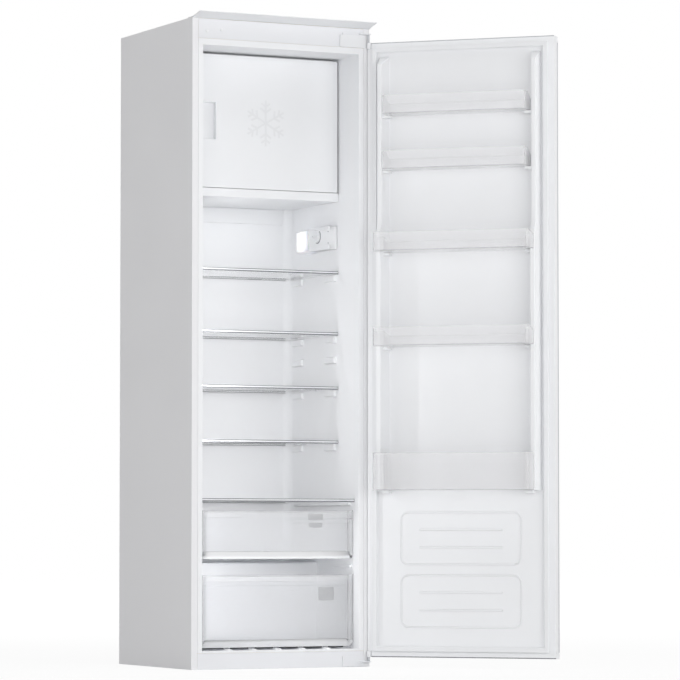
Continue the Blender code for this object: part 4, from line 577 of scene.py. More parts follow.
bm = copy_of("inner_liner")
for vert in bm.verts:
    if within(vert.co, RIB_NOSES):
        centre = round(vert.co.x / FLOOR_RIB_PITCH) * FLOOR_RIB_PITCH
        vert.co.x += (centre - vert.co.x) * NOSE_TAPER
        vert.co.z -= NOSE_DROP
rounded_edges(bm, sharp_edges(bm, 60.0, on_rib), RIB_ROUNDING, 4)
rounded_edges(bm, sharp_edges(bm, 40.0, lambda e: not on_rib(e)), 0.0012, 3)
print("liner with", len(bm.verts), "points")
put("liner_moulding", bm, ["inner_liner"])
softened("freezer_frame", radius=0.0015, segments=3)
softened("thermostat_housing", radius=0.0034, segments=5)
softened("lamp_diffuser", radius=0.0060, segments=5, angle=50.0)
softened("evaporating_tray", radius=0.0006)

# %% [markdown]
# ## Door bins
# These are thin injection mouldings. Their rims and corners are rounded, and the
# rounding is what makes clear plastic visible: a bent edge gathers the light of
# the room into a bright or a dark line.

# %% Door bins
BIN_NODES = ("door_bin_1", "door_bin_2", "door_bin_3", "door_bin_4", "bottle_bin")
for node in BIN_NODES:
    softened(node, radius=0.0007, angle=40.0, finishes=[BIN_CLEAR])

# %% [markdown]
# ## Bars and pipes
# Grips, bails and pipes are round bars along a route. A curve with a bevel makes
# them and becomes a mesh at once. Each corner of the route is rounded first, by
# a short parabola from one side to the other.

# %% Bars and pipes


def rod(spots, radius, sides=3):
    """A round bar or tube along a route, from a curve with a bevel."""
    line = bpy.data.curves.new("route", "CURVE")
    line.dimensions = "3D"
    line.bevel_depth = radius
    line.bevel_resolution = sides
    line.use_fill_caps = True
    run = line.splines.new("POLY")
    run.points.add(len(spots) - 1)
    for point, spot in zip(run.points, spots):
        point.co = (*spot, 1.0)
    carrier = bpy.data.objects.new("route", line)
    bm = bmesh.new()
    bm.from_mesh(carrier.to_mesh())
    bpy.data.objects.remove(carrier)
    bpy.data.curves.remove(line)
    return bm


def bent(spots, radius, steps=6):
    """A route with its corners rounded to a radius."""
    spots = [Vector(s) for s in spots]
    route = [spots[0]]
    for before, corner, after in zip(spots, spots[1:], spots[2:]):
        reach = min(radius, (before - corner).length / 2, (after - corner).length / 2)
        start = corner + (before - corner).normalized() * reach
        end = corner + (after - corner).normalized() * reach
        for step in range(steps + 1):
            t = step / steps
            route.append(start * (1 - t) ** 2 + corner * 2 * t * (1 - t) + end * t ** 2)
    return route + [spots[-1]]


print("a square corner becomes", len(bent([(0, 0, 0), (1, 0, 0), (1, 1, 0)], 0.1)), "points")

# %% [markdown]
# ## Drawer fronts
# A drawer is a tub, and its front is a wider, milky plate with a raised border
# and round lower corners. A thick edge of clear plastic looks grey, because
# light travels a long way through it, so the edges and the underside take
# finishes of their own. A bar behind the front serves as the grip.

# %% Drawer fronts
FRONT_HALF, FRONT_THICK, FRONT_EDGE = 0.2335, 0.0022, 0.0004
FRONT_BACK, FRONT_TOP = 0.0035, 0.0048
FRONT_BORDER, FRONT_RELIEF, FRONT_SLOPE = 0.020, 0.0009, 0.0006
TUB_EDGE, TUB_FOOT = 0.0007, 0.0090
NEAR = 0.001
GRIP_HALF, GRIP_RADIUS, GRIP_BEND = 0.2125, 0.0012, 0.012
CLEAR, FOOT, EDGE, FACE, BORDER, GRIP, BORDER_FOOT = range(7)
DRAWER_FINISHES = [
    FINISH["clear_plastic"], FROSTED_FOOT, THICK_CLEAR, DRAWER_FACE, DRAWER_BORDER, GRIP_LINE,
    DRAWER_FOOT]


def round_feet(bm, level, radius, segments):
    """Round the two lower corners of an upright plate, as seen from the front."""
    feet = [
        e for e in bm.edges
        if abs(e.verts[0].co.y - e.verts[1].co.y) > NEAR
        and max(v.co.z for v in e.verts) < level + NEAR]
    rounded_edges(bm, feet, radius, segments)


def drawer(node, drop, corner):
    """A clear tub with a frosted underside, behind a bordered front plate."""
    low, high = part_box(node)
    tub = copy_of(node)
    rounded_edges(tub, sharp_edges(tub, 40.0), TUB_EDGE)
    for face in tub.faces:
        beneath = face.calc_center_median().z < low.z + TUB_FOOT and face.normal.z < -0.5
        face.material_index = FOOT if beneath else CLEAR
    front, foot = low.y + FRONT_BACK, low.z - drop
    plate = block((-FRONT_HALF, front, foot), (FRONT_HALF, front + FRONT_THICK, high.z - FRONT_TOP))
    round_feet(plate, foot, corner, 8)
    broad = [f for f in plate.faces if f.normal.y < -0.9]
    border = bmesh.ops.inset_region(plate, faces=broad, thickness=FRONT_BORDER, depth=0.0)["faces"]
    bmesh.ops.inset_region(plate, faces=broad, thickness=FRONT_SLOPE, depth=-FRONT_RELIEF)
    for face in plate.faces:
        face.material_index = EDGE if abs(face.normal.y) < 0.9 else FACE
    for face in border:
        at_foot = face.calc_center_median().z < foot + FRONT_BORDER
        face.material_index = BORDER_FOOT if at_foot else BORDER
    rounded_edges(plate, sharp_edges(plate, 60.0), FRONT_EDGE)
    joined(tub, plate, None)
    return tub, low, high


tub, low, high = drawer("upper_drawer", drop=0.0085, corner=0.009)
grip_y = low.y + 0.0100
grip_z = high.z - 0.0209
joined(tub, rod(bent([
    (-GRIP_HALF, grip_y, grip_z), (-0.105, grip_y, grip_z), (-0.082, grip_y, grip_z + 0.0117)],
    GRIP_BEND), GRIP_RADIUS), GRIP)
put("upper_drawer_tub", tub, ["upper_drawer"], DRAWER_FINISHES)
tub, low, high = drawer("lower_drawer", drop=0.0, corner=0.016)
grip_z = high.z - 0.0300
joined(tub, rod([(-GRIP_HALF, grip_y, grip_z), (GRIP_HALF, grip_y, grip_z)], GRIP_RADIUS), GRIP)
put("lower_drawer_tub", tub, ["lower_drawer"], DRAWER_FINISHES)
print("two drawers with fronts", round(FRONT_HALF * 2000), "mm wide")

# %% [markdown]
# ## Painted gap shadow and pads of the drawers
# Dark rubber strips under the lower drawer, between the floor's ribs, paint the
# shadow in the gap there, so the ribs' pitch gives their ends. Grey pads show
# where to push: the upper one is a bar over a small foot that widens downwards.

# %% Strips and pads
STRIP_DROP = 0.0032
STRIP_APART = 0.0095
STRIP_BACK = 0.0036
STRIP_DEEP = 0.0020
ends = [-0.2240]
for number in range(-2, 3):
    ends += [number * FLOOR_RIB_PITCH - STRIP_APART, number * FLOOR_RIB_PITCH + STRIP_APART]
ends.append(0.2050)
# low still holds the lower drawer's lowest corner
gap_shadow_strips = bmesh.new()
strip_y = low.y + STRIP_BACK
for left, right in zip(ends[::2], ends[1::2]):
    joined(gap_shadow_strips, block(
        (left, strip_y, low.z - STRIP_DROP), (right, strip_y + STRIP_DEEP, low.z + 0.0001), 0.0004))
# The strips are painted shadow: black rubber where the gap under the drawer is in shade
put("lower_drawer_gap_shadow", gap_shadow_strips, finishes=[RUBBER], body="lower_drawer_body")

BAR_HIGH = 0.0172
BAR_TO_FOOT = 0.0068
FOOT_INSET = 0.0014
FOOT_FLARE = 0.0022
low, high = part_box("upper_drawer_pad")
bar_foot = high.z - BAR_HIGH
pad = block((low.x, low.y, bar_foot), (high.x, high.y, high.z), 0.0004)
foot = block((low.x + FOOT_INSET, low.y, low.z),
             (high.x - FOOT_INSET, high.y, bar_foot - BAR_TO_FOOT))
for vert in foot.verts:
    if vert.co.z < low.z + NEAR:
        vert.co.x -= math.copysign(FOOT_FLARE, vert.co.x - (low.x + high.x) / 2)
round_feet(foot, low.z, 0.004, 5)
joined(pad, foot)
put("upper_pad_inserts", pad, ["upper_drawer_pad"])
low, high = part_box("lower_drawer_pad")
pad = block(low, high)
round_feet(pad, low.z, 0.006, 6)
rounded_edges(pad, sharp_edges(pad, 60.0), 0.0003)
put("lower_pad_insert", pad, ["lower_drawer_pad"])
print("strips:", len(ends) // 2, "and two pads")

# %% [markdown]
# ## Shelf trims
# Each glass shelf sits in a pale frame, whose front and rear bars carry a grey
# line of painted shade along their lower and upper edges. Cutting planes part a
# bar into bands, the bands take their finish by height, and the middle one is
# sunk, so that the lines stand proud as on the moulding.

# %% Shelf trims
TRIM_LIP = 0.0012
TRIM_FOOT = 0.0030
TRIM_HEAD = 0.0020
TRIM_GROOVE = 0.0005
TRIM_DEEP = 0.0105
LEAST_AREA = 0.0005


def cut(bm, spot, normal):
    """Part every face that a plane crosses."""
    parts = bm.verts[:] + bm.edges[:] + bm.faces[:]
    bmesh.ops.bisect_plane(bm, geom=parts, plane_co=spot, plane_no=normal)


def trimmed_frame(node):
    """A shelf frame with painted grey shade lines and a groove along its front and rear bars."""
    low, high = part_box(node)
    bm = copy_of(node)
    for level in (low.z + TRIM_LIP, low.z + TRIM_FOOT, high.z - TRIM_HEAD):
        cut(bm, (0, 0, level), (0, 0, 1))
    bands = []
    for face in bm.faces:
        spot = face.calc_center_median()
        in_band = low.z + TRIM_FOOT < spot.z < high.z - TRIM_HEAD
        on_front = spot.y < low.y + TRIM_DEEP and not in_band
        on_rear = spot.y > high.y - TRIM_DEEP and spot.z < low.z + TRIM_LIP
        # The bars' edges take the grey of painted shade
        face.material_index = 1 if on_front or on_rear else 0
        if in_band and face.normal.y < -0.9 and face.calc_area() > LEAST_AREA:
            bands.append(face)
    bmesh.ops.inset_region(bm, faces=bands, thickness=0.0001, depth=-TRIM_GROOVE)
    put(node + "_moulding", bm, [node], [FINISH["shelf_trim"], TRIM_SHADE_LINE])
    return len(bands)


for node in [f"shelf_{i}_frame" for i in range(1, 5)] + ["crisper_cover_frame"]:
    print(node, "bands:", trimmed_frame(node))

# %% [markdown]
# ## Door shell
# The door's liner carries two upright dykes with small ledges for the bins. The
# shade at the seams between liner, skin and caps is painted as thin grey lines:
# a plane cuts a narrow band along each edge, and the band gets a grey finish.

# %% Door shell
bin_floors = [closed_box(node)[0].z for node in BIN_NODES]
LEDGE_DEEP = 0.0095
LEDGE_FROM, LEDGE_TO = 0.1940, 0.2055
EDGE_BAND = 0.0026
SKIN_SHEET = 0.0004
SKIN_BAND = 0.0115


def on_ledge(edge):
    """True on the small ledges under the bins' corners."""
    spot = CLOSED @ mid_edge(edge)
    under_bin = any(0.0 < floor - spot.z < LEDGE_DEEP for floor in bin_floors)
    return under_bin and LEDGE_FROM < abs(spot.x) < LEDGE_TO


def banded(bm, spot, outwards, finish, front=None):
    """Cut along a plane, and give what lies beyond it a finish of its own."""
    cut(bm, spot, outwards)
    if front is not None:
        cut(bm, (0, front, 0), (0, -1, 0))
    for face in bm.faces:
        middle = face.calc_center_median()
        beyond = (middle - Vector(spot)).dot(Vector(outwards)) > 0
        if beyond and (front is None or middle.y < front):
            face.material_index = finish


bm = copy_of("door_liner")
rounded_edges(bm, sharp_edges(bm, 60.0, on_ledge), 0.0034, 4)
rounded_edges(bm, sharp_edges(bm, 30.0, lambda e: not on_ledge(e)), 0.0014, 3)
# Bands of painted shade along the liner's lower and upper edges
banded(bm, (0, 0, door_low.z + EDGE_BAND), (0, 0, -1), 1)
banded(bm, (0, 0, door_high.z - EDGE_BAND), (0, 0, 1), 2)
put("door_liner_moulding", bm, ["door_liner"], [FINISH[SLOT["door_liner"]], EDGE_SHADE_DARK, EDGE_SHADE_GREY])
bm = copy_of("door_skin")
rounded_edges(bm, sharp_edges(bm), 0.0003)
moved(bm, CLOSED)
skin_low = closed_box("door_skin")[0]
# A band of painted shade along the skin's free side
banded(bm, (skin_low.x + SKIN_SHEET, 0, 0), (-1, 0, 0), 1, front=skin_low.y + SKIN_BAND)
moved(bm, SWING)
put("door_skin_moulding", bm, ["door_skin"], [FINISH[SLOT["door_skin"]], EDGE_SHADE_GREY])
softened("door_cap_top", radius=0.0008)
softened("door_cap_bottom", radius=0.0008)

# %% [markdown]
# ## Magnetic seals
# A refrigerator seal is a soft PVC profile: a foot that clips into the door, a
# folded bellows that gives, a pocket that hides a magnetic strip, and a thin lip
# towards the food. Four lengths are welded at mitred corners. So the profile is
# drawn once on the diagonal and spun in four steps, which makes the mitres, and
# then the four corners are pulled apart to size.

# %% Seals
SEAL_CORE = 0.05
SEAL_WIDE, SEAL_HIGH = 15.5, 11.2
SEAL_PROFILE = (
    (1.2, 0.0), (14.3, 0.0), (15.3, 0.9), (15.3, 2.1), (12.9, 3.2), (13.3, 4.3), (15.2, 5.6),
    (15.5, 6.6), (15.5, 10.3), (14.8, 11.2), (3.4, 11.2), (2.6, 10.4), (2.6, 7.2), (4.6, 6.2),
    (5.0, 5.0), (2.4, 4.3), (0.4, 3.7), (0.1, 2.7), (0.3, 0.9))


def seal(name, node, box, across, place=None):
    """A mitred ring about Y that fills a seal's box."""
    low, high = box
    bm = bmesh.new()
    wide = across / SEAL_WIDE
    tall = (high.y - low.y) / SEAL_HIGH
    spots = []
    for u, w in SEAL_PROFILE:
        out = SEAL_CORE + u * wide
        spots.append(bm.verts.new((out, low.y + w * tall, out)))
    lines = [bm.edges.new((a, b)) for a, b in zip(spots, spots[1:] + spots[:1])]
    spun(bm, spots, lines, (0, 1, 0), 4)
    outer = SEAL_CORE + across
    for vert in bm.verts:
        vert.co.x += math.copysign(high.x - outer, vert.co.x)
        vert.co.z += math.copysign((high.z - low.z) / 2 - outer, vert.co.z)
    moved(bm, Matrix.Translation((0.0, 0.0, (low.z + high.z) / 2)))
    if place:
        moved(bm, place)
    put(name, bm, [node], sharp=28.0)


seal("door_seal", "door_gasket", closed_box("door_gasket"), 0.0155, SWING)
seal("freezer_seal", "freezer_door_gasket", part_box("freezer_door_gasket"), 0.0140)
print("two seals with mitred corners")

# %% [markdown]
# ## Freezer door
# The inner door is one moulded pan. Its outline is well rounded, but the raised
# snowflake is only 0.7 mm high, so its edges get a radius of their own, and its
# top and flanks a slightly darker finish, as relief looks in soft light.

# %% Freezer door
FLAKE_X = 0.010
FLAKE_ZONE = 0.075
FLAKE_TOP = 0.0004
FLAKE_DEEP = 0.002
low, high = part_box("freezer_door_panel")
flake_z = (low.z + high.z) / 2
bm = copy_of("freezer_door_panel")


def around_flake(spot):
    """True where a point lies round the snowflake, as seen from the front."""
    return math.hypot(spot.x - FLAKE_X, spot.z - flake_z) < FLAKE_ZONE


def near_flake(edge):
    """True on the snowflake's own edges."""
    middle = mid_edge(edge)
    return around_flake(middle) and middle.y < low.y + FLAKE_DEEP


for face in bm.faces:
    spot = face.calc_center_median()
    on_flank = spot.y < low.y + FLAKE_DEEP and abs(face.normal.y) < 0.9
    if around_flake(spot) and (spot.y < low.y + FLAKE_TOP or on_flank):
        face.material_index = 1
rounded_edges(bm, sharp_edges(bm, 30.0, near_flake), 0.0003, 2)
rounded_edges(bm, sharp_edges(bm, 60.0, lambda e: not near_flake(e)), 0.0014, 4)
put("freezer_door_moulding", bm, ["freezer_door_panel"],
    [FINISH["white_polystyrene"], FLAKE_EDGE])
print("freezer door", [round(v, 4) for v in high - low])

# %% [markdown]
# ## Thermostat knob
# A turned disc with a fluted rim and a raised handle. It is spun from a profile,
# and the flutes are cut by pulling every second point of the rim inwards.

# %% Thermostat knob
FLUTES = 36
FLUTE_FROM = 0.95
FLUTE_PULL = 0.975
# Shares of the knob's radius, and heights in metres
DIAL_PROFILE = (
    (0.0, 0.0), (0.96, 0.0), (1.0, 0.0006), (0.985, 0.0042), (0.93, 0.0053), (0.86, 0.0056),
    (0.0, 0.0056))
HANDLE_HALF, HANDLE_SHARE = 0.0030, 0.93
MARK_HALF, MARK_FROM, MARK_TO = 0.0006, 0.50, 0.88
low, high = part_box("thermostat_knob")
knob_centre = Vector((high.x, (low.y + high.y) / 2, (low.z + high.z) / 2))
knob_radius = (high.y - low.y) / 2
knob_reach = high.x - low.x
disc = lathe([(knob_radius * share, z) for share, z in DIAL_PROFILE], steps=FLUTES * 2)
for vert in disc.verts:
    flat = math.hypot(vert.co.x, vert.co.y)
    turn = round(math.atan2(vert.co.y, vert.co.x) / math.tau * FLUTES * 2)
    if turn % 2 and flat > knob_radius * FLUTE_FROM:
        vert.co.x *= FLUTE_PULL
        vert.co.y *= FLUTE_PULL
along = knob_radius * HANDLE_SHARE
joined(disc, block((-HANDLE_HALF, -along, 0.003), (HANDLE_HALF, along, knob_reach), 0.0011, 3))
joined(disc, block(
    (-MARK_HALF, knob_radius * MARK_FROM, knob_reach - 0.0003),
    (MARK_HALF, knob_radius * MARK_TO, knob_reach)), 1)
moved(disc, towards((-1, 0, 0), knob_centre))
put("thermostat_dial", disc, ["thermostat_knob"], [FINISH["white_plastic"], PRINT_AND_SHADE_GREY])
print("knob", round(knob_radius * 2000, 1), "mm across")

# %% [markdown]
# ## Details of the thermostat's housing
# The housing has a rail along its top and its foot, two small dark pins that paint
# the shade of two small recesses, and a thin painted shadow line round the dial,
# which is a flat grey ring here.

# %% Housing details
RAIL_PROUD = 0.0014
RAIL_HIGH = 0.0105
PIN_HEAD = ((0.0, 1.2), (1.2, 1.0), (1.7, 0.0), (0.0, 0.0))
RING_FROM = 0.80
RING_THICK = 0.0004
low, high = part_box("thermostat_housing")
rails = bmesh.new()
for foot in (low.z + 0.0010, high.z - 0.0115):
    joined(rails, block(
        (low.x - RAIL_PROUD, low.y + 0.002, foot), (low.x + 0.004, high.y - 0.001, foot + RAIL_HIGH),
        0.0012, 3))
put("housing_rails", rails, slot="white_plastic")
# Painted shade: two dark pins stand for the shade of two small recesses
pins = bmesh.new()
for height in (low.z + 0.0180, high.z - 0.0160):
    pin = lathe(PIN_HEAD, steps=20, unit=MM)
    joined(pins, moved(pin, towards((-1, 0, 0), (low.x + 0.0002, low.y + 0.006, height))))
put("housing_shade_pins", pins, finishes=[PRINT_AND_SHADE_GREY])
ring_inner = knob_radius * RING_FROM
ring = lathe([
    (ring_inner, 0.0), (knob_radius + 0.0024, 0.0), (knob_radius + 0.0022, RING_THICK),
    (ring_inner, RING_THICK), (ring_inner, 0.0)], steps=48)
moved(ring, towards((-1, 0, 0), knob_centre + Vector((0.0002, 0.0, 0.0))))
put("dial_shadow_ring", ring, finishes=[PRINT_AND_SHADE_GREY])
print("rails, pins and ring on the housing")

# %% [markdown]
# ## Compressor
# The compressor is a pair of deep-drawn steel cups, welded at a flange round the
# middle. Its profile is spun and then squashed to an oval. It stands on a plate
# with four rubber grommets, each held by a stud and a nut. The profiles are in
# millimetres, as on a drawing.

# %% Compressor
SHELL_RADIUS = 0.072
CUP_PROFILE = (
    (0.0, 4.0), (40.0, 4.0), (56.0, 10.0), (65.0, 22.0), (69.0, 42.0), (69.5, 66.0), (69.5, 69.0),
    (71.8, 69.8), (71.8, 73.5), (69.5, 74.5), (69.0, 100.0), (65.5, 122.0), (57.5, 141.0),
    (44.0, 154.5), (24.0, 161.0), (0.0, 162.0))
GROMMET = (
    (0, 0), (9, 0), (10, 2), (10, 6), (8.2, 7.8), (8.2, 11.8), (9.5, 12.5), (9.5, 15), (0, 15))
STUD = ((0, 0), (3, 0), (3, 21), (2.4, 22), (0, 22))
NUT = ((3, 15), (6, 15), (6, 19.5), (3, 19.5))
PLATE_HALF = 0.046
PLATE_FROM, PLATE_TO = 0.0085, 0.0110
FOOT_X, FOOT_Y = 0.074, 0.036
low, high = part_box("compressor")
middle = (low + high) / 2
squash = Matrix.Diagonal((1.0, (high.y - low.y) / 2 / SHELL_RADIUS, 1.0, 1.0))
shell = lathe(CUP_PROFILE, steps=64, unit=MM)
moved(shell, Matrix.Translation((middle.x, middle.y, low.z)) @ squash)
joined(shell, block(
    (low.x, middle.y - PLATE_HALF, low.z + PLATE_FROM),
    (high.x, middle.y + PLATE_HALF, low.z + PLATE_TO), 0.0008))
for side_x in (-1, 1):
    for side_y in (-1, 1):
        place = Matrix.Translation(
            (middle.x + side_x * FOOT_X, middle.y + side_y * FOOT_Y, low.z))
        for profile, steps, finish in ((GROMMET, 28, 1), (STUD, 16, 2), (NUT, 6, 2)):
            joined(shell, moved(lathe(profile, steps, MM), place), finish)
put("compressor_shell", shell, ["compressor"], [FINISH["black_steel"], RUBBER, ZINC])
print("compressor", round((high.z - low.z) * 1000), "mm high")

# %% [markdown]
# ## Terminal box
# The relay sits in a box on the compressor's side. A lip parts its lid, a wire
# bail holds it, and an empty rubber gland shows where the supply enters.

# %% Terminal box
LIP = Vector((0.0, 0.0008, 0.0008))
GLAND = ((0, 0), (8.5, 0), (8.5, 3), (6.8, 4.2), (6.2, 10), (5, 11.5), (3.6, 11.5), (3.6, 4), (0, 4))
low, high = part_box("terminal_box")
middle = (low + high) / 2
case = block(low + LIP, high - LIP, 0.0030, 4)
joined(case, block((middle.x - 0.001, low.y, low.z), (middle.x + 0.0016, high.y, high.z), 0.0006))
bail_z = middle.z + 0.006
joined(case, rod(bent([
    (high.x, low.y - 0.001, bail_z), (low.x - 0.001, low.y - 0.001, bail_z),
    (low.x - 0.001, high.y + 0.001, bail_z), (high.x, high.y + 0.001, bail_z)], 0.004), 0.0009), 1)
gland = lathe(GLAND, steps=32, unit=MM)
joined(case, moved(gland, towards((0, 1, 0), (middle.x, high.y - 0.001, low.z + 0.016))), 2)
put("terminal_box_moulding", case, ["terminal_box"], [FINISH["black_plastic"], ZINC, RUBBER])
print("terminal box", [round(v, 3) for v in high - low])

# %% [markdown]
# ## Copper pipes and drier
# Copper pipes join the compressor to the cold side: a thick suction pipe and a
# hair-thin capillary go up into the foam, and the hot pipe climbs to the top of
# the coil. The drier is a can whose ends are spun down to the pipes.

# %% Copper pipes and drier
PIPE_BEND = 0.018
HAIR_BEND = 0.010
SUCTION_RADIUS, HOT_RADIUS, HAIR_RADIUS = 0.0032, 0.0024, 0.0010
DRIER = (
    (0, 0), (2.2, 0), (2.6, 4), (4, 7), (7.5, 11.5), (9, 16.5), (9, 18), (8.4, 19), (8.4, 81),
    (9, 82), (9, 83.5), (7.5, 88.5), (4, 93), (2.6, 96), (2.2, 100), (0, 100))
coil_low, coil_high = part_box("condenser_coil")
coil_y = (coil_low.y + coil_high.y) / 2
coil_top = coil_high.z - 0.0025
drier_low, drier_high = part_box("filter_drier")
drier = (drier_low + drier_high) / 2
shell_low, shell_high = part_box("compressor")
shell_mid = (shell_low + shell_high) / 2
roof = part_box("drain_tube")[0].z + 0.039
pipes = rod(bent([
    (shell_mid.x + 0.055, shell_mid.y, 0.105), (0.168, shell_mid.y + 0.012, 0.105),
    (0.168, shell_mid.y + 0.045, 0.135), (0.168, shell_mid.y + 0.045, roof)],
    PIPE_BEND, 10), SUCTION_RADIUS, 4)
joined(pipes, rod(bent([
    (shell_mid.x - 0.040, shell_mid.y + 0.030, 0.120), (-0.090, 0.214, 0.120),
    (-0.214, 0.226, 0.150), (-0.214, coil_y, 0.240), (-0.214, coil_y, coil_top),
    (-0.172, coil_y, coil_top)], PIPE_BEND, 10), HOT_RADIUS, 4))
joined(pipes, rod(bent([
    (drier.x, drier.y, drier_low.z + 0.001), (drier.x, drier.y, 0.030), (0.184, 0.205, 0.022),
    (0.176, 0.196, 0.060), (0.176, shell_mid.y + 0.047, roof)], HAIR_BEND, 8), HAIR_RADIUS))
put("copper_pipes", pipes, slot="copper")
can = lathe(DRIER, steps=32, unit=MM)
moved(can, Matrix.Translation((drier.x, drier.y, drier_low.z)))
put("drier_can", can, ["filter_drier"])
print("pipes up to", round(roof, 3))

# %% [markdown]
# ## Condenser wires
# The coil's rows are held by fine steel wires, half in front and half behind,
# spot-welded at every crossing. The wires in front leave room for the straps.

# %% Condenser wires
WIRE_RADIUS = 0.0007
WIRE_PITCH = 0.008
WIRE_HALF = 0.164
WIRE_FOOT, WIRE_HEAD = 0.235, 0.012
STRAP_ROOM = 0.008
strap_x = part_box("condenser_frame")[1].x - 0.006
wires = bmesh.new()
rows = int(2 * WIRE_HALF / WIRE_PITCH) + 1
for row in range(rows):
    x = -WIRE_HALF + row * WIRE_PITCH
    for depth in (coil_low.y - WIRE_RADIUS, coil_high.y + WIRE_RADIUS):
        if depth < coil_y and abs(abs(x) - strap_x) < STRAP_ROOM:
            continue
        foot = Vector((x, depth, coil_low.z + WIRE_FOOT))
        head = Vector((x, depth, coil_high.z + WIRE_HEAD))
        wire = bmesh.new()
        bmesh.ops.create_cone(
            wire, cap_ends=True, segments=8, radius1=WIRE_RADIUS, radius2=WIRE_RADIUS,
            depth=(head - foot).length)
        joined(wires, moved(wire, Matrix.Translation((foot + head) / 2)))
put("condenser_wires", wires, slot="black_steel")
print("wires:", rows, "columns")

# %% [markdown]
# ## Screws and plugs
# Pan-head screws hold the rear panel, and two domed plugs close the spare hinge
# holes on the left, where the door would hang if it opened the other way.

# %% Screws and plugs
# Shares of a head's radius, and of a plug's radius and thickness
PAN_HEAD = ((0.0, 0.55), (0.45, 0.50), (0.80, 0.30), (1.0, 0.06), (1.0, 0.0), (0.0, 0.0))
DOME = ((0.0, 1.0), (0.60, 0.92), (0.90, 0.60), (1.0, 0.15), (1.0, 0.0), (0.0, 0.0))
SCREW_X = 0.244
SCREW_HEIGHTS = (0.330, 0.685, 1.040, 1.395, 1.750)


def screw(centre, radius=0.0042):
    """A pan head with the shade of its cross recess painted as two dark bars."""
    head = lathe(PAN_HEAD, steps=28, unit=radius)
    for turn in (0.0, math.pi / 2):
        bar = block(
            (-radius * 0.5, -radius * 0.1, radius * 0.3), (radius * 0.5, radius * 0.1, radius * 0.56))
        joined(head, moved(bar, Matrix.Rotation(turn, 4, "Z")), 1)
    return moved(head, towards((0, 1, 0), centre))


rear_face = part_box("rear_panel")[1].y
screws = bmesh.new()
for x in (-SCREW_X, SCREW_X):
    for z in SCREW_HEIGHTS:
        joined(screws, screw((x, rear_face, z)), None)
put("rear_screws", screws, finishes=[ZINC, RECESS_SHADE_STEEL])

for node in ("blanking_plug_a", "blanking_plug_b"):
    low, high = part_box(node)
    radius = (high.x - low.x) / 2
    thick = high.y - low.y
    dome = lathe([(radius * r, thick * z) for r, z in DOME], steps=32)
    spot = ((low.x + high.x) / 2, high.y, (low.z + high.z) / 2)
    moved(dome, towards((0, -1, 0), spot))
    put(node + "_dome", dome, [node])
print("screws:", 2 * len(SCREW_HEIGHTS), "and two plugs")

# %% [markdown]
# ## Floor and backdrop
# The room is a white photo studio. The world is white to the camera, in mirrors
# and through glass, while the light on the object stays at a plain level, so no
# white surface is overexposed. The floor is white to the camera too, but near
# the object a little of its own shading comes through, which keeps the shadow.

# %% Floor and backdrop
WORLD_LEVEL = 0.23
FLOOR_HALF = 14.0
FLOOR_DROP = 0.0005
FLOOR_GLOW = 1.02
VEIL_NEAR, VEIL_FAR, VEIL_LEAST = 1.5, 4.0, 0.88

world = bpy.data.worlds.new("studio")
scene.world = world
world.use_nodes = True
tree = world.node_tree
tree.nodes.clear()
path = add(tree, "LightPath")
seen = add(tree, "Math", {0: path.outputs["Is Camera Ray"], 1: path.outputs["Is Glossy Ray"]},
           operation="MAXIMUM")
seen = add(tree, "Math", {0: seen.outputs[0], 1: path.outputs["Is Transmission Ray"]},
           operation="MAXIMUM")
level = add(tree, "MapRange", {"Value": seen.outputs[0], "To Min": WORLD_LEVEL, "To Max": 1.0})
sky = add(tree, "Background", {"Color": linear("#FFFFFF"), "Strength": level.outputs["Result"]})
add(tree, "OutputWorld", {"Surface": sky.outputs["Background"]})

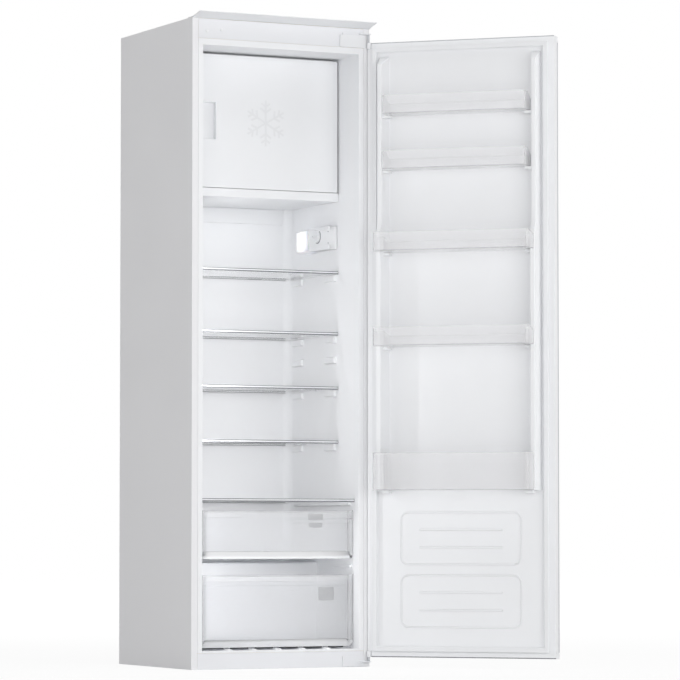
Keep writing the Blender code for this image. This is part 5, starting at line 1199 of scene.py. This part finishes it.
floor_finish, tree, shader, place = material("matt white studio floor", "#F4F4F4", Roughness=0.85)
path = add(tree, "LightPath")
white = add(tree, "Emission", {"Color": linear("#FFFFFF"), "Strength": FLOOR_GLOW})
far = add(tree, "VectorMath", {0: place}, operation="LENGTH")
veil = add(tree, "MapRange", {
    "Value": far.outputs["Value"], "From Min": VEIL_NEAR, "From Max": VEIL_FAR,
    "To Min": VEIL_LEAST, "To Max": 1.0})
share = add(tree, "Math", {0: path.outputs["Is Camera Ray"], 1: veil.outputs["Result"]},
            operation="MULTIPLY")
mixed_out(tree, share.outputs[0], shader.outputs["BSDF"], white.outputs["Emission"])
bm = bmesh.new()
bmesh.ops.create_grid(bm, x_segments=1, y_segments=1, size=FLOOR_HALF)
floor = placed("studio_floor", bm, [floor_finish])
floor.location.z = -FLOOR_DROP
print("floor", FLOOR_HALF * 2, "m wide")

# %% [markdown]
# ## Lamps
# The six lamps around are large and soft, because the inside of a white cabinet
# is lit mostly by its own walls. Three small ones help the light that takes long
# to find its way in: before the drawers, along the left wall and by the lamp
# cover. Each has a place, an aim, a size and a power, and stays unseen.

# %% Lamps
LAMP_AIM = (0.05, 0.0, 0.90)
LAMPS = {
    "front_lamp": ((0.5, -6.0, 1.3), LAMP_AIM, (4.0, 2.4), 92.0),
    "left_lamp": ((-5.5, -0.6, 1.7), LAMP_AIM, (3.0, 3.0), 39.5),
    "right_lamp": ((4.6, -3.4, 1.5), LAMP_AIM, (3.0, 2.4), 68.0),
    "top_lamp": ((0.0, -1.0, 5.0), LAMP_AIM, (3.0, 3.0), 53.0),
    "back_lamp": ((1.5, 5.0, 3.0), LAMP_AIM, (4.0, 3.0), 90.0),
    "camera_lamp": ((-3.4, -5.6, 1.3), LAMP_AIM, (3.0, 2.4), 55.0),
    "low_lamp": ((-0.008, -0.240, 0.254), (0.04, 0.20, 0.254), (0.41, 0.345), 0.41),
    "strip_lamp": ((-0.215, -0.20, 0.60), (0.10, 0.05, 0.60), (0.02, 0.96), 1.45),
    "bulb_lamp": ((-0.17, -0.06, 1.140), (0.237, 0.0, 1.08), (0.05, 0.12), 0.27),
}
for name, (spot, aim, size, watts) in LAMPS.items():
    data = bpy.data.lights.new(name, "AREA")
    data.shape = "RECTANGLE"
    data.size, data.size_y = size
    data.energy = watts
    lamp = bpy.data.objects.new(name, data)
    lamp.location = spot
    lamp.rotation_euler = (Vector(aim) - lamp.location).to_track_quat("-Z", "Y").to_euler()
    lamp.visible_camera = lamp.visible_glossy = lamp.visible_transmission = False
    scene.collection.objects.link(lamp)
print("studio lit by", len(LAMPS), "soft lamps")
